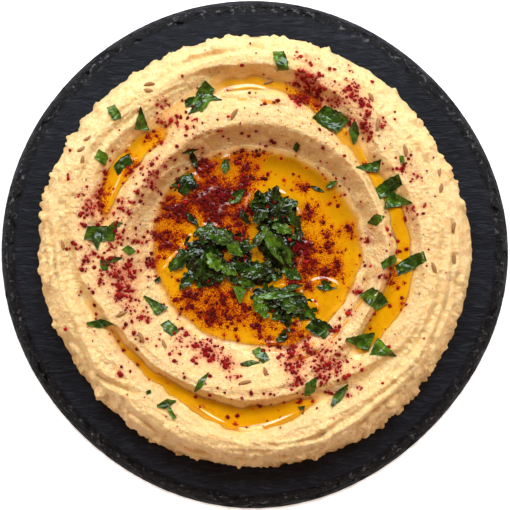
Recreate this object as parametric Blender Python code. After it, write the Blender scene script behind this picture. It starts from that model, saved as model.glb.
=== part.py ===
"""Hummus swirled by spoon on a round slate plate, with olive oil in its well and grooves and parsley on it.

Run it with: blender --background --python part.py
The origin is the middle of the plate's underside, +Z is up and +Y is the far side of the plate. Lengths in
the constants are millimetres and angles are degrees, counted from +X towards +Y. Heights of the hummus are
above the plate's top face.
"""

import math

import bmesh
import bpy
from mathutils import Vector, noise

MM = 0.001
CLEARANCE = 0.3  # left between pieces that touch
FULL_TURN = 360.0

# Slate plate: a split disc whose edge was chipped into a bevel that leans outwards.
PLATE_SIDES = 96
PLATE_THICKNESS = 6.0
BEVEL_RUN = 5.0
BEVEL_FOOT_HEIGHT = 1.2
UNDERCUT = 1.6
CHIP_RUN = 0.9
CHIP_SIZE = 7.0
PLATE_RADIUS = (
    (0, 110.3), (45, 109.0), (90, 110.5), (135, 110.7),
    (180, 110.3), (225, 108.7), (270, 110.5), (315, 107.7),
)  # fmt: skip

# Hummus: lines that run round the swirl, as (angle, radius or height) about the spoon's turning centre.
SWIRL_CENTRE = (-0.35, 0.87)
SWIRL_SIDES = 90
POOL_LEVEL = 10.0
POOL_FLOOR = 5.0
POOL_FLOOR_SHARPNESS = 4.0
POOL_EDGE = (
    (0, 47.2), (45, 46.2), (90, 44.6), (135, 46.0), (180, 44.3), (225, 42.0), (270, 40.6),
    (285, 42.2), (300, 44.6), (315, 44.4),
)  # fmt: skip
INNER_CREST = (
    (0, 55.5), (45, 54.5), (90, 55.5), (135, 54.5), (180, 56.0), (225, 59.0), (270, 57.0), (315, 53.0),
)  # fmt: skip
INNER_CREST_HEIGHT = (
    (0, 19.5), (60, 20.5), (120, 20.5), (180, 18.5), (225, 18.0), (270, 18.5), (315, 17.5),
)  # fmt: skip
OUTER_CREST = (
    (0, 77.5), (45, 76.5), (90, 79.5), (120, 81.0), (180, 80.5), (225, 79.5), (270, 79.5), (315, 78.0),
)  # fmt: skip
OUTER_CREST_HEIGHT = (
    (0, 19.5), (60, 20.0), (100, 21.0), (150, 18.5), (200, 17.5), (270, 19.5), (315, 18.5),
)  # fmt: skip
FOOT = (
    (0, 94.0), (30, 91.5), (60, 92.8), (90, 93.6), (120, 93.0), (150, 93.6),
    (180, 93.0), (210, 91.0), (240, 92.3), (270, 92.5), (300, 92.8), (330, 92.3),
)  # fmt: skip
WALL_START_SHARE = 0.35  # share of the well's wall that rises evenly, the rest eases in and out
OUTER_WALL_POWERS = (2.2, 0.8)

# The spoon's two grooves. The upper one runs from the lower right, round the far side, to the left.
UPPER_GROOVE = {
    "centre": (
        (185, 64.0), (300, 59.5), (320, 60.9), (330, 60.8), (337, 61.8), (345, 62.9), (0, 63.3),
        (15, 62.0), (30, 60.6), (40, 59.6), (50, 60.6), (60, 63.5), (70, 68.0), (80, 70.6), (90, 71.8),
        (97, 72.0), (105, 71.0), (113, 68.0), (122, 64.5), (132, 63.4), (140, 65.0), (150, 66.2),
        (168, 64.4),
    ),
    "depth": (
        (0, 8.2), (15, 8.2), (28, 7.9), (38, 7.0), (54, 7.0), (64, 7.4), (75, 8.2), (90, 8.6), (101, 8.4),
        (110, 6.4), (122, 5.6), (130, 6.8), (140, 7.9), (152, 7.8), (162, 6.4), (170, 4.6), (185, 2.0),
        (200, 0.3), (215, 0.0), (300, 0.0), (312, 3.0), (320, 6.2), (332, 8.0),
    ),
    "inner": (
        (0, 6.8), (15, 6.9), (30, 5.8), (42, 5.0), (55, 6.0), (65, 8.5), (75, 11.0), (90, 13.0), (100, 12.5),
        (110, 9.0), (120, 7.0), (132, 6.8), (145, 8.5), (160, 7.5), (170, 6.0), (185, 8.0), (320, 5.6),
        (330, 7.2), (340, 9.2), (350, 8.5),
    ),
    "outer": (
        (0, 7.2), (15, 7.8), (30, 7.5), (42, 9.5), (55, 11.5), (65, 10.0), (75, 8.6), (90, 7.8), (100, 8.0),
        (110, 10.0), (120, 13.0), (132, 12.0), (145, 9.0), (160, 8.0), (170, 7.0), (185, 9.0), (315, 5.6),
        (330, 7.2), (340, 9.4), (350, 9.2),
    ),
}  # fmt: skip
# The lower one starts at the left edge and runs round the near side to the right edge.
LOWER_GROOVE = {
    "centre": (
        (168, 81.5), (180, 78.8), (186, 77.4), (193, 75.0), (200, 72.4), (210, 69.0), (225, 67.5),
        (240, 67.5), (255, 69.2), (263, 70.2), (270, 70.0), (280, 68.8), (290, 67.2), (300, 68.8),
        (310, 71.0), (320, 73.5), (330, 77.0), (345, 82.0),
    ),
    "depth": (
        (0, 0.0), (160, 0.0), (168, 0.6), (178, 2.5), (190, 4.0), (205, 6.2), (225, 7.6), (250, 8.4),
        (268, 9.0), (282, 8.4), (292, 6.0), (300, 3.8), (315, 3.0), (330, 2.0), (350, 0.0),
    ),
    "inner": (
        (172, 3.0), (190, 4.2), (210, 4.0), (225, 4.4), (240, 5.6), (255, 7.6), (263, 8.6), (270, 8.6),
        (280, 7.6), (292, 6.5), (305, 6.0), (330, 4.0),
    ),
    "outer": (
        (172, 4.0), (190, 5.2), (210, 4.0), (225, 4.6), (240, 5.7), (255, 7.8), (263, 9.0), (270, 8.8),
        (280, 7.6), (292, 7.0), (305, 7.0), (330, 5.0),
    ),
}  # fmt: skip
GROOVE_POWERS = (2.2, 1.4)

# Oil lying in the grooves: (name, first angle, last angle, level).
GROOVE_OILS = (
    ("oil_groove_right", -36.0, 28.0, 13.8),
    ("oil_groove_top", 76.0, 104.0, 13.7),
    ("oil_groove_left", 136.0, 160.0, 14.0),
    ("oil_groove_bottom", 212.0, 284.0, 12.9),
)
OIL_EDGE = 0.4
BED_CLEARANCE = 0.6
GROOVE_OIL_STEP = 4.0
GROOVE_OIL_SPANS = 5
POOL_RINGS = (0.86, 0.7, 0.45, 0.2)

# Chopped parsley heaped on the oil, as its uneven outline about the plate's middle.
HEAP_SIDES = 40
HEAP_OUTLINE = (
    (0, 21.0), (35, 22.0), (62, 29.0), (90, 24.0), (118, 22.0), (140, 33.0), (165, 31.0),
    (188, 36.0), (215, 29.0), (250, 24.0), (275, 27.0), (310, 37.0), (335, 33.0),
)  # fmt: skip
HEAP_PROFILE = ((0.22, 5.2), (0.5, 4.6), (0.78, 3.2), (1.0, 1.4))
HEAP_LUMP_HEIGHT = 0.9
HEAP_LUMP_SIZE = 8.0

# Rings of the hummus mesh, as shares of the way from each of its lines to the next.
FLOOR_SHARES = (0.2, 0.5, 0.75, 0.9)
WELL_SHARES = (0.0, 0.25, 0.5, 0.75)
TOP_RINGS = 20
WALL_SHARES = (0.0, 0.3, 0.55, 0.75, 0.9, 0.97)
WALL_FOOT_SHARE = 0.995


def around(points, angle):
    """The value at an angle of the smooth closed curve through (angle, value) points."""
    knots = sorted((a % FULL_TURN, v) for a, v in points)
    count = len(knots)
    angle %= FULL_TURN
    after = next((i for i, (a, _) in enumerate(knots) if a > angle), count)

    def knot(index):
        turns, place = divmod(index, count)
        return knots[place][0] + turns * FULL_TURN, knots[place][1]

    (a0, v0), (a1, v1), (a2, v2), (a3, v3) = (knot(after + k) for k in (-2, -1, 0, 1))
    span = a2 - a1
    t = (angle - a1) / span
    slope_in = (v2 - v0) / (a2 - a0) * span
    slope_out = (v3 - v1) / (a3 - a1) * span
    rise = v2 - v1
    bend = 3 * rise - 2 * slope_in - slope_out
    twist = slope_in + slope_out - 2 * rise
    return v1 + t * (slope_in + t * (bend + t * twist))


def ease(t):
    """0 to 1, level at both ends."""
    t = min(max(t, 0.0), 1.0)
    return t * t * (3.0 - 2.0 * t)


def groove_depth(groove, radius, angle):
    """How deep the spoon's groove is cut at a point."""
    depth = max(around(groove["depth"], angle), 0.0)
    offset = radius - around(groove["centre"], angle)
    offset /= around(groove["outer" if offset > 0 else "inner"], angle)
    flat, steep = GROOVE_POWERS
    return depth * (1.0 - abs(offset) ** flat) ** steep if abs(offset) < 1.0 else 0.0


def swirl_height(radius, angle):
    """The hummus's height above the plate at a point given from the swirl's centre."""
    edge, crest = around(POOL_EDGE, angle), around(INNER_CREST, angle)
    rim, foot = around(OUTER_CREST, angle), around(FOOT, angle)
    crest_height, rim_height = around(INNER_CREST_HEIGHT, angle), around(OUTER_CREST_HEIGHT, angle)
    if radius < edge:
        return POOL_FLOOR + (POOL_LEVEL - POOL_FLOOR) * (radius / edge) ** POOL_FLOOR_SHARPNESS
    if radius < crest:
        t = (radius - edge) / (crest - edge)
        rise = WALL_START_SHARE * t + (1.0 - WALL_START_SHARE) * ease(t)
        return POOL_LEVEL + (crest_height - POOL_LEVEL) * rise
    if radius < rim:
        height = crest_height + (rim_height - crest_height) * ease((radius - crest) / (rim - crest))
    else:
        t = min((radius - rim) / (foot - rim), 1.0)
        flat, steep = OUTER_WALL_POWERS
        height = rim_height * (1.0 - t**flat) ** steep
    cut = groove_depth(UPPER_GROOVE, radius, angle) + groove_depth(LOWER_GROOVE, radius, angle)
    return max(height - cut, 0.0)


def swirl_point(radius, angle, height):
    """A point of the swirl in the part's frame, in metres."""
    turn = math.radians(angle)
    x = SWIRL_CENTRE[0] + radius * math.cos(turn)
    y = SWIRL_CENTRE[1] + radius * math.sin(turn)
    return Vector((x, y, PLATE_THICKNESS + height)) * MM


def plate_point(radius, angle, z):
    """A point about the plate's own axis, in metres."""
    turn = math.radians(angle)
    return Vector((radius * math.cos(turn), radius * math.sin(turn), z)) * MM


def angles(sides):
    return [FULL_TURN * i / sides for i in range(sides)]


def material(name, colour, roughness, coat=0.0):
    """A Principled material."""
    made = bpy.data.materials.new(name)
    made.use_nodes = True
    shader = made.node_tree.nodes["Principled BSDF"]
    shader.inputs["Base Color"].default_value = (*colour, 1.0)
    shader.inputs["Roughness"].default_value = roughness
    shader.inputs["Coat Weight"].default_value = coat
    made.diffuse_color = (*colour, 1.0)
    return made


def closed_object(name, loops, surface, parent, sharp_angle):
    """One solid through closed loops of points, bridged one to the next, with both end loops capped."""
    shape = bmesh.new()
    rows = [[shape.verts.new(point) for point in loop] for loop in loops]
    count = len(rows[0])
    for row, following in zip(rows, rows[1:]):
        for i in range(count):
            j = (i + 1) % count
            shape.faces.new((row[i], row[j], following[j], following[i]))
    shape.faces.new(rows[0])
    shape.faces.new(rows[-1])
    bmesh.ops.recalc_face_normals(shape, faces=shape.faces)
    mesh = bpy.data.meshes.new(name)
    shape.to_mesh(mesh)
    shape.free()
    mesh.shade_smooth()
    mesh.set_sharp_from_angle(angle=math.radians(sharp_angle))
    mesh.materials.append(surface)
    made = bpy.data.objects.new(name, mesh)
    bpy.context.scene.collection.objects.link(made)
    made.parent = parent
    return made


def chip(angle, row):
    """How far the chipped edge wanders at an angle, from -1 to 1. Each row of facets wanders by itself."""
    turn = math.radians(angle)
    reach = PLATE_RADIUS[0][1] / CHIP_SIZE
    return noise.noise(Vector((reach * math.cos(turn), reach * math.sin(turn), 3.7 * row)))


def build_plate(surface, parent):
    """A flat disc with a chipped bevel all round."""
    top_edge, middle, widest, foot = [], [], [], []
    for angle in angles(PLATE_SIDES):
        outer = around(PLATE_RADIUS, angle)
        inner = outer - BEVEL_RUN + CHIP_RUN * chip(angle, 1)
        step = 0.5 + 0.25 * chip(angle, 2)
        top_edge.append(plate_point(inner, angle, PLATE_THICKNESS))
        middle_z = PLATE_THICKNESS + (BEVEL_FOOT_HEIGHT - PLATE_THICKNESS) * (step + 0.18 * chip(angle, 3))
        middle.append(plate_point(inner + (outer - inner) * step, angle, middle_z))
        widest.append(plate_point(outer, angle, BEVEL_FOOT_HEIGHT))
        foot.append(plate_point(outer - UNDERCUT, angle, 0.0))
    closed_object("slate_plate", [top_edge, middle, widest, foot], surface, parent, 20.0)


def swirl_radii(angle):
    """The radii of the hummus mesh's rings at an angle, from the middle out."""
    lines = [0.0] + [around(line, angle) for line in (POOL_EDGE, INNER_CREST, OUTER_CREST, FOOT)]
    top_shares = [i / TOP_RINGS for i in range(TOP_RINGS)]
    radii = []
    for start, end, shares in zip(lines, lines[1:], (FLOOR_SHARES, WELL_SHARES, top_shares, WALL_SHARES)):
        radii += [start + (end - start) * share for share in shares]
    return radii + [lines[-2] + (lines[-1] - lines[-2]) * WALL_FOOT_SHARE]


def build_hummus(surface, parent):
    """The swirled mound, one solid down to the plate."""
    columns = []
    for angle in angles(SWIRL_SIDES):
        radii = swirl_radii(angle)
        column = [swirl_point(r, angle, max(swirl_height(r, angle), 2 * CLEARANCE)) for r in radii]
        columns.append(column + [swirl_point(radii[-1], angle, CLEARANCE)])
    closed_object("hummus", list(zip(*columns)), surface, parent, 40.0)


def shore(level, angle, inside, outside):
    """The radius between two others where the hummus, with its clearance, is an oil edge below a level."""
    target = level - OIL_EDGE - BED_CLEARANCE
    for _ in range(40):
        middle = (inside + outside) / 2
        if swirl_height(middle, angle) < target:
            inside = middle
        else:
            outside = middle
    return inside


def bed_height(radius, angle, level):
    """The underside of oil: just clear of the hummus, and at least an oil edge below the surface."""
    return min(swirl_height(radius, angle) + BED_CLEARANCE, level - OIL_EDGE)


def build_pool(surface, parent):
    """The oil in the well, level on top and following the hummus below."""
    reach = {a: shore(POOL_LEVEL, a, 0.0, around(INNER_CREST, a)) for a in angles(SWIRL_SIDES)}
    loops = [[swirl_point(r, a, POOL_LEVEL) for a, r in reach.items()]]
    loops.append([swirl_point(r, a, POOL_LEVEL - OIL_EDGE) for a, r in reach.items()])
    for share in POOL_RINGS:
        ring = [(r * share, a) for a, r in reach.items()]
        loops.append([swirl_point(r, a, bed_height(r, a, POOL_LEVEL)) for r, a in ring])
    closed_object("oil_pool", loops, surface, parent, 30.0)


def groove_centre(angle):
    """The radius of whichever groove is deeper at an angle."""
    deeper = max((UPPER_GROOVE, LOWER_GROOVE), key=lambda groove: around(groove["depth"], angle))
    return around(deeper["centre"], angle)


def build_groove_oil(name, first, last, level, surface, parent):
    """A strip of oil along a groove, from its first angle to its last."""
    steps = round((last - first) / GROOVE_OIL_STEP)
    sections = []
    for i in range(steps + 1):
        angle = first + (last - first) * i / steps
        middle = groove_centre(angle)
        inner = shore(level, angle, middle, around(INNER_CREST, angle))
        outer = shore(level, angle, middle, around(OUTER_CREST, angle))
        section = [swirl_point(outer, angle, level), swirl_point(inner, angle, level)]
        for k in range(GROOVE_OIL_SPANS + 1):
            radius = inner + (outer - inner) * k / GROOVE_OIL_SPANS
            section.append(swirl_point(radius, angle, bed_height(radius, angle, level)))
        sections.append(section)
    closed_object(name, sections, surface, parent, 30.0)


def build_heap(surface, parent):
    """The heap of chopped parsley, out to its uneven outline."""
    base = PLATE_THICKNESS + POOL_LEVEL + CLEARANCE
    loops = []
    for row, (share, height) in enumerate(HEAP_PROFILE):
        loop = []
        for angle in angles(HEAP_SIDES):
            radius = around(HEAP_OUTLINE, angle) * share
            turn = math.radians(angle)
            place = Vector((radius * math.cos(turn), radius * math.sin(turn), 10.0 * row)) / HEAP_LUMP_SIZE
            loop.append(plate_point(radius, angle, base + height + HEAP_LUMP_HEIGHT * noise.noise(place)))
        loops.append(loop)
    loops.append([plate_point(around(HEAP_OUTLINE, a), a, base) for a in angles(HEAP_SIDES)])
    closed_object("parsley_heap", loops, surface, parent, 25.0)


def main():
    for old in list(bpy.data.objects):
        bpy.data.objects.remove(old)
    serving = bpy.data.objects.new("serving", None)
    bpy.context.scene.collection.objects.link(serving)
    slate = material("slate", (0.016, 0.017, 0.021), 0.55)
    hummus = material("hummus", (0.86, 0.62, 0.33), 0.6)
    oil = material("olive_oil", (0.75, 0.36, 0.02), 0.08, coat=1.0)
    parsley = material("parsley", (0.03, 0.1, 0.01), 0.4)
    build_plate(slate, serving)
    build_hummus(hummus, serving)
    build_pool(oil, serving)
    for name, first, last, level in GROOVE_OILS:
        build_groove_oil(name, first, last, level, oil, serving)
    build_heap(parsley, serving)


main()
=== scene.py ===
"""The look of hummus on a round slate plate: stone, swirled dip, olive oil, parsley, paprika and cumin seeds.

Lengths in the constants are millimetres and angles are degrees, counted from +X towards +Y. Radii are about
the swirl's centre, but for the plate's, and heights of the hummus and the oil are above the plate's top face.
"""

import itertools
import math

import bmesh
import bpy
import numpy as np
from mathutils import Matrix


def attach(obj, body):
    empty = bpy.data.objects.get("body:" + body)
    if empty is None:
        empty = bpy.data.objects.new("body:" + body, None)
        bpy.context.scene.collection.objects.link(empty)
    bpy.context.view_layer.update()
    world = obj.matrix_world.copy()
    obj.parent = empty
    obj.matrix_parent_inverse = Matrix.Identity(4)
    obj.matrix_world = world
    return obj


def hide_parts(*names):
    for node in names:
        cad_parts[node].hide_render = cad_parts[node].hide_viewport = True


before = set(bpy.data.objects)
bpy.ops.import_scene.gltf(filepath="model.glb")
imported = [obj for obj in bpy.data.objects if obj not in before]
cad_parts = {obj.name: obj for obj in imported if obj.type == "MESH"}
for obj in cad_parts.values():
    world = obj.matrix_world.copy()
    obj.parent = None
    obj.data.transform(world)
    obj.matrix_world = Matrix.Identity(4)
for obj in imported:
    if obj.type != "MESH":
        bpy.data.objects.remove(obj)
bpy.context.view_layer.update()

MM = 0.001
FULL_TURN = 360.0

# The plate and the swirl's lines are the CAD part's own.
PLATE_THICKNESS = 6.0
BEVEL_RUN = 5.0
BEVEL_FOOT_HEIGHT = 1.2
UNDERCUT = 1.6
PLATE_RADIUS = (
    (0, 110.3), (45, 109.0), (90, 110.5), (135, 110.7), (180, 110.3), (225, 108.7), (270, 110.5),
    (315, 107.7),
)  # fmt: skip
SWIRL_CENTRE = (-0.35, 0.87)
POOL_LEVEL = 10.0
POOL_FLOOR = 5.0
POOL_FLOOR_SHARPNESS = 4.0
POOL_EDGE = (
    (0, 47.2), (45, 46.2), (90, 44.6), (135, 46.0), (180, 44.3),
    (225, 42.0), (270, 40.6), (285, 42.2), (300, 44.6), (315, 44.4),
)  # fmt: skip
INNER_CREST = (
    (0, 55.5), (45, 54.5), (90, 55.5), (135, 54.5), (180, 56.0), (225, 59.0), (270, 57.0), (315, 53.0),
)  # fmt: skip
INNER_CREST_HEIGHT = ((0, 19.5), (60, 20.5), (120, 20.5), (180, 18.5), (225, 18.0), (270, 18.5), (315, 17.5))
OUTER_CREST = (
    (0, 77.5), (45, 76.5), (90, 79.5), (120, 81.0), (180, 80.5), (225, 79.5), (270, 79.5), (315, 78.0),
)  # fmt: skip
OUTER_CREST_HEIGHT = ((0, 19.5), (60, 20.0), (100, 21.0), (150, 18.5), (200, 17.5), (270, 19.5), (315, 18.5))
FOOT = (
    (0, 94.0), (30, 91.5), (60, 92.8), (90, 93.6), (120, 93.0), (150, 93.6),
    (180, 93.0), (210, 91.0), (240, 92.3), (270, 92.5), (300, 92.8), (330, 92.3),
)  # fmt: skip
WALL_START_SHARE = 0.35
OUTER_WALL_POWERS = (2.2, 0.8)
UPPER_GROOVE = {
    "centre": (
        (185, 64.0), (300, 59.5), (320, 60.9), (330, 60.8), (337, 61.8), (345, 62.9), (0, 63.3),
        (15, 62.0), (30, 60.6), (40, 59.6), (50, 60.6), (60, 63.5), (70, 68.0), (80, 70.6), (90, 71.8),
        (97, 72.0), (105, 71.0), (113, 68.0), (122, 64.5), (132, 63.4), (140, 65.0), (150, 66.2), (168, 64.4),
    ),
    "depth": (
        (0, 8.2), (15, 8.2), (28, 7.9), (38, 7.0), (54, 7.0), (64, 7.4), (75, 8.2), (90, 8.6), (101, 8.4),
        (110, 6.4), (122, 5.6), (130, 6.8), (140, 7.9), (152, 7.8), (162, 6.4), (170, 4.6), (185, 2.0),
        (200, 0.3), (215, 0.0), (300, 0.0), (312, 3.0), (320, 6.2), (332, 8.0),
    ),
    "inner": (
        (0, 6.8), (15, 6.9), (30, 5.8), (42, 5.0), (55, 6.0), (65, 8.5), (75, 11.0), (90, 13.0), (100, 12.5),
        (110, 9.0), (120, 7.0), (132, 6.8), (145, 8.5), (160, 7.5), (170, 6.0), (185, 8.0), (320, 5.6),
        (330, 7.2), (340, 9.2), (350, 8.5),
    ),
    "outer": (
        (0, 7.2), (15, 7.8), (30, 7.5), (42, 9.5), (55, 11.5), (65, 10.0), (75, 8.6), (90, 7.8), (100, 8.0),
        (110, 10.0), (120, 13.0), (132, 12.0), (145, 9.0), (160, 8.0), (170, 7.0), (185, 9.0), (315, 5.6),
        (330, 7.2), (340, 9.4), (350, 9.2),
    ),
}  # fmt: skip
# The lower one starts at the left edge and runs round the near side to the right edge.
LOWER_GROOVE = {
    "centre": (
        (168, 81.5), (180, 78.8), (186, 77.4), (193, 75.0), (200, 72.4), (210, 69.0), (225, 67.5),
        (240, 67.5), (255, 69.2), (263, 70.2), (270, 70.0), (280, 68.8), (290, 67.2), (300, 68.8),
        (310, 71.0), (320, 73.5), (330, 77.0), (345, 82.0),
    ),
    "depth": (
        (0, 0.0), (160, 0.0), (168, 0.6), (178, 2.5), (190, 4.0), (205, 6.2), (225, 7.6), (250, 8.4),
        (268, 9.0), (282, 8.4), (292, 6.0), (300, 3.8), (315, 3.0), (330, 2.0), (350, 0.0),
    ),
    "inner": (
        (172, 3.0), (190, 4.2), (210, 4.0), (225, 4.4), (240, 5.6), (255, 7.6), (263, 8.6), (270, 8.6),
        (280, 7.6), (292, 6.5), (305, 6.0), (330, 4.0),
    ),
    "outer": (
        (172, 4.0), (190, 5.2), (210, 4.0), (225, 4.6), (240, 5.7), (255, 7.8), (263, 9.0), (270, 8.8),
        (280, 7.6), (292, 7.0), (305, 7.0), (330, 5.0),
    ),
}  # fmt: skip
GROOVE_POWERS = (2.2, 1.4)

# Marks that the spoon and knife left: the line each follows, its depth (below 0 it stands up), its width to
# a side, and what share of its depth the oil that it holds fills.
MARKS = (
    # On the outer band, from the far side round to the left.
    (((84, 85.8), (98, 84.6), (112, 83.3), (124, 81.9)), 1.3, 1.5, 0),
    (((60, 85.5), (72, 86.8), (86, 88.2)), 0.9, 1.3, 0),
    (((126, 75.4), (137, 77.5), (144, 78.8), (152, 79.0)), 1.0, 1.4, 0),
    (((118, 87.6), (132, 86.4), (148, 87.0)), 0.7, 1.2, 0),
    (((150, 84.0), (160, 83.0), (172, 82.5)), 0.8, 1.3, 0),
    (((167, 90.5), (174, 86.0), (181, 84.4), (187, 84.0), (195, 84.3)), 1.7, 1.2, 0),
    (((178, 81.6), (186, 81.0), (194, 79.5), (200, 77.5)), 0.9, 1.0, 0),
    (((176, 88.6), (186, 87.6), (196, 87.4)), 1.3, 1.1, 0),
    # Across the lower left.
    (((202, 86.0), (209, 83.6), (216, 84.6), (224, 80.6), (232, 77.5)), 1.5, 1.3, 0),
    (((206, 79.5), (214, 78.5), (222, 76.5)), 0.6, 1.2, 0),
    (((226, 86.5), (236, 85.0), (246, 86.6)), 0.9, 1.2, 0),
    # Along the near side, under the band's edge.
    (((238, 87.0), (250, 87.0), (265, 87.2), (280, 86.8), (294, 86.2)), 0.8, 1.4, 0),
    (((276, 90.0), (290, 88.6), (304, 88.4)), 0.8, 1.1, 0),
    (((284, 82.5), (295, 80.5), (308, 79.5), (318, 80.5), (328, 82.5)), 1.4, 1.3, 0),
    (((296, 85.6), (308, 83.6), (320, 84.2), (332, 86.0)), 1.2, 1.1, 0),
    # The combed right-hand side.
    (((316, 78.0), (326, 78.6), (338, 79.4), (352, 79.6), (366, 79.2)), 0.7, 1.2, 0),
    (((322, 88.8), (334, 87.8), (346, 86.8), (358, 86.6)), 1.2, 1.1, 0),
    (((328, 84.2), (340, 83.4), (352, 83.4), (364, 84.0), (376, 84.6)), 1.1, 1.1, 0),
    (((352, 90.4), (364, 88.6), (378, 87.6)), 1.1, 1.1, 0),
    (((378, 81.5), (392, 80.4), (408, 80.8), (420, 82.0)), 0.6, 1.4, 0),
    (((388, 86.4), (400, 85.4), (414, 86.6)), 0.8, 1.2, 0),
    # The lip between the well's oil and a thin crease of oil beside it, at the lower right.
    (((292, 45.6), (304, 46.2), (314, 45.6), (324, 45.2), (335, 46.6), (346, 46.8),
      (354, 47.0)), -2.0, 1.3, 0),
    (((280, 46.4), (292, 48.6), (304, 49.4), (316, 48.6), (328, 48.9), (340, 49.6),
      (352, 49.0)), 1.8, 0.8, 0.7),
    # A shallow hollow that holds a film of oil beside the well, at the near side.
    (((262, 43.0), (275, 44.0), (288, 45.0), (300, 46.0), (308, 46.0)), 0.5, 2.0, 0.8),
    # A low wet bank along the far groove, with a thin crease of oil above it.
    (((70, 64.0), (80, 66.6), (90, 68.0), (98, 68.2), (106, 67.4)), -1.3, 2.6, 0),
    (((62, 60.6), (75, 62.2), (85, 63.7), (95, 64.8), (105, 66.4)), 1.4, 0.8, 0.9),
    # The same at the near side.
    (((260, 75.0), (270, 73.2), (278, 71.4), (285, 69.2), (291, 66.8)), -1.6, 1.5, 0),
    (((254, 75.4), (264, 76.2), (272, 75.4), (280, 73.4), (289, 69.8)), 1.1, 0.7, 0.9),
    # Folds high on the well's wall, at the upper left.
    (((124, 47.4), (136, 49.0), (151, 50.6), (160, 51.5)), -1.0, 0.9, 0),
    (((104, 52.6), (111, 52.0), (118, 51.0)), -0.9, 0.9, 0),
)  # fmt: skip
MARK_FADE = 7.0
MARK_SHARPNESS = 1.3
MARK_SHOULDERS = (0.45, 0.30)  # on the outer side, on the inner side
SHOULDER_PLACE = 2.1
SHOULDER_WIDTH = 0.9
BAND_MARK_SCALE = 1.7

# Kinds of chopped leaf: half-width at the start, where it is widest, half-width at the end, teeth, skew.
LEAF_SHAPES = {
    "block": (0.80, 0.50, 0.75, 0.13, 0.22),
    "wedge": (1.00, 0.04, 0.06, 0.14, 0.05),
    "fan": (0.12, 0.93, 0.90, 0.14, 0.25),
    "kite": (0.06, 0.45, 0.10, 0.16, 0.10),
    "blade": (0.25, 0.45, 0.12, 0.16, 0.10),
    "sprig": (0.35, 0.55, 0.20, 0.42, 0.10),
    "stem": (0.90, 0.50, 0.90, 0.0, 0.0),
}

# Leaves lying about: (angle, radius, length, width, direction of the length, kind, lightness of green: partly
# freshness, partly painted light and shade).
LEAVES = (
    # On the outer band and in the grooves, from the far side round to the left.
    (135, 82.7, 6.8, 4.8, -62, "block", 0.75),
    (130, 73.4, 9.6, 6.4, 92, "wedge", 0.55),
    (148, 75.2, 7.2, 6.4, -70, "kite", 0.75),
    (146, 66.6, 8.6, 6.0, 38, "block", 0.35),
    (108, 69.0, 11.5, 7.4, 60, "block", 0.65),
    (112, 65.6, 8.0, 5.0, 40, "fan", 0.40),
    (113, 69.0, 4.5, 4.0, 20, "block", 0.25),
    (104, 66.8, 5.5, 3.6, -12, "wedge", 0.60),
    (123, 46.8, 8.6, 3.4, -75, "blade", 0.25),
    (122, 50.3, 7.2, 2.0, 16, "blade", 0.25),
    (82, 81.0, 8.2, 6.0, -75, "block", 0.80),
    (60, 64.9, 12.4, 9.6, -33, "block", 0.45),
    (50, 65.6, 9.5, 5.0, -92, "blade", 0.60),
    (68, 48.0, 3.2, 2.8, 60, "block", 0.55),
    (37, 60.0, 10.2, 5.6, 4, "fan", 0.55),
    (26, 63.1, 11.0, 6.6, 32, "block", 0.45),
    (19.5, 64.6, 10.6, 9.2, -10, "wedge", 0.60),
    (32, 73.0, 3.6, 2.2, -80, "block", 0.75),
    (15, 53.1, 7.4, 5.4, 20, "kite", 0.60),
    # On the left.
    (173, 64.8, 12.5, 7.4, -4, "block", 0.55),
    (176, 66.4, 7.5, 6.0, -84, "wedge", 0.50),
    (169, 59.4, 7.0, 4.0, 14, "kite", 0.60),
    (179, 52.4, 4.2, 3.6, -40, "block", 0.60),
    (185, 63.2, 4.6, 3.6, -80, "block", 0.50),
    (183, 58.2, 6.4, 2.8, 14, "blade", 0.35),
    (196, 42.5, 2.6, 2.2, 30, "block", 0.10),
    (207, 47.6, 10.4, 5.8, -40, "fan", 0.60),
    (222, 47.8, 7.0, 5.0, -48, "block", 0.60),
    (205, 71.0, 11.8, 4.2, -2, "blade", 0.60),
    # On the near side.
    (248, 58.8, 10.4, 3.4, 54, "blade", 0.65),
    (240, 73.3, 8.0, 4.2, 12, "blade", 0.50),
    (243, 75.7, 5.2, 1.8, -60, "stem", 1.00),
    (233, 73.3, 2.2, 1.8, 20, "block", 0.60),
    (293, 61.3, 9.8, 5.8, 60, "kite", 0.60),
    (301, 70.0, 11.6, 4.6, 52, "blade", 0.60),
    (287, 69.7, 3.6, 3.2, -80, "wedge", 0.60),
    (274, 43.6, 7.0, 4.6, -50, "block", 0.65),
    (268, 46.8, 8.4, 3.0, 4, "blade", 0.50),
    # On the right.
    (356, 56.8, 7.2, 4.2, 30, "block", 0.65),
    (356, 66.1, 13.2, 6.0, 28, "block", 0.50),
    (339, 54.4, 9.6, 8.2, -42, "block", 0.60),
    (320, 57.6, 11.4, 9.0, -6, "fan", 0.65),
    (323, 69.0, 10.4, 8.4, -24, "wedge", 0.75),
    (311, 42.4, 9.6, 7.8, -30, "block", 0.30),
)  # fmt: skip
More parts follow.
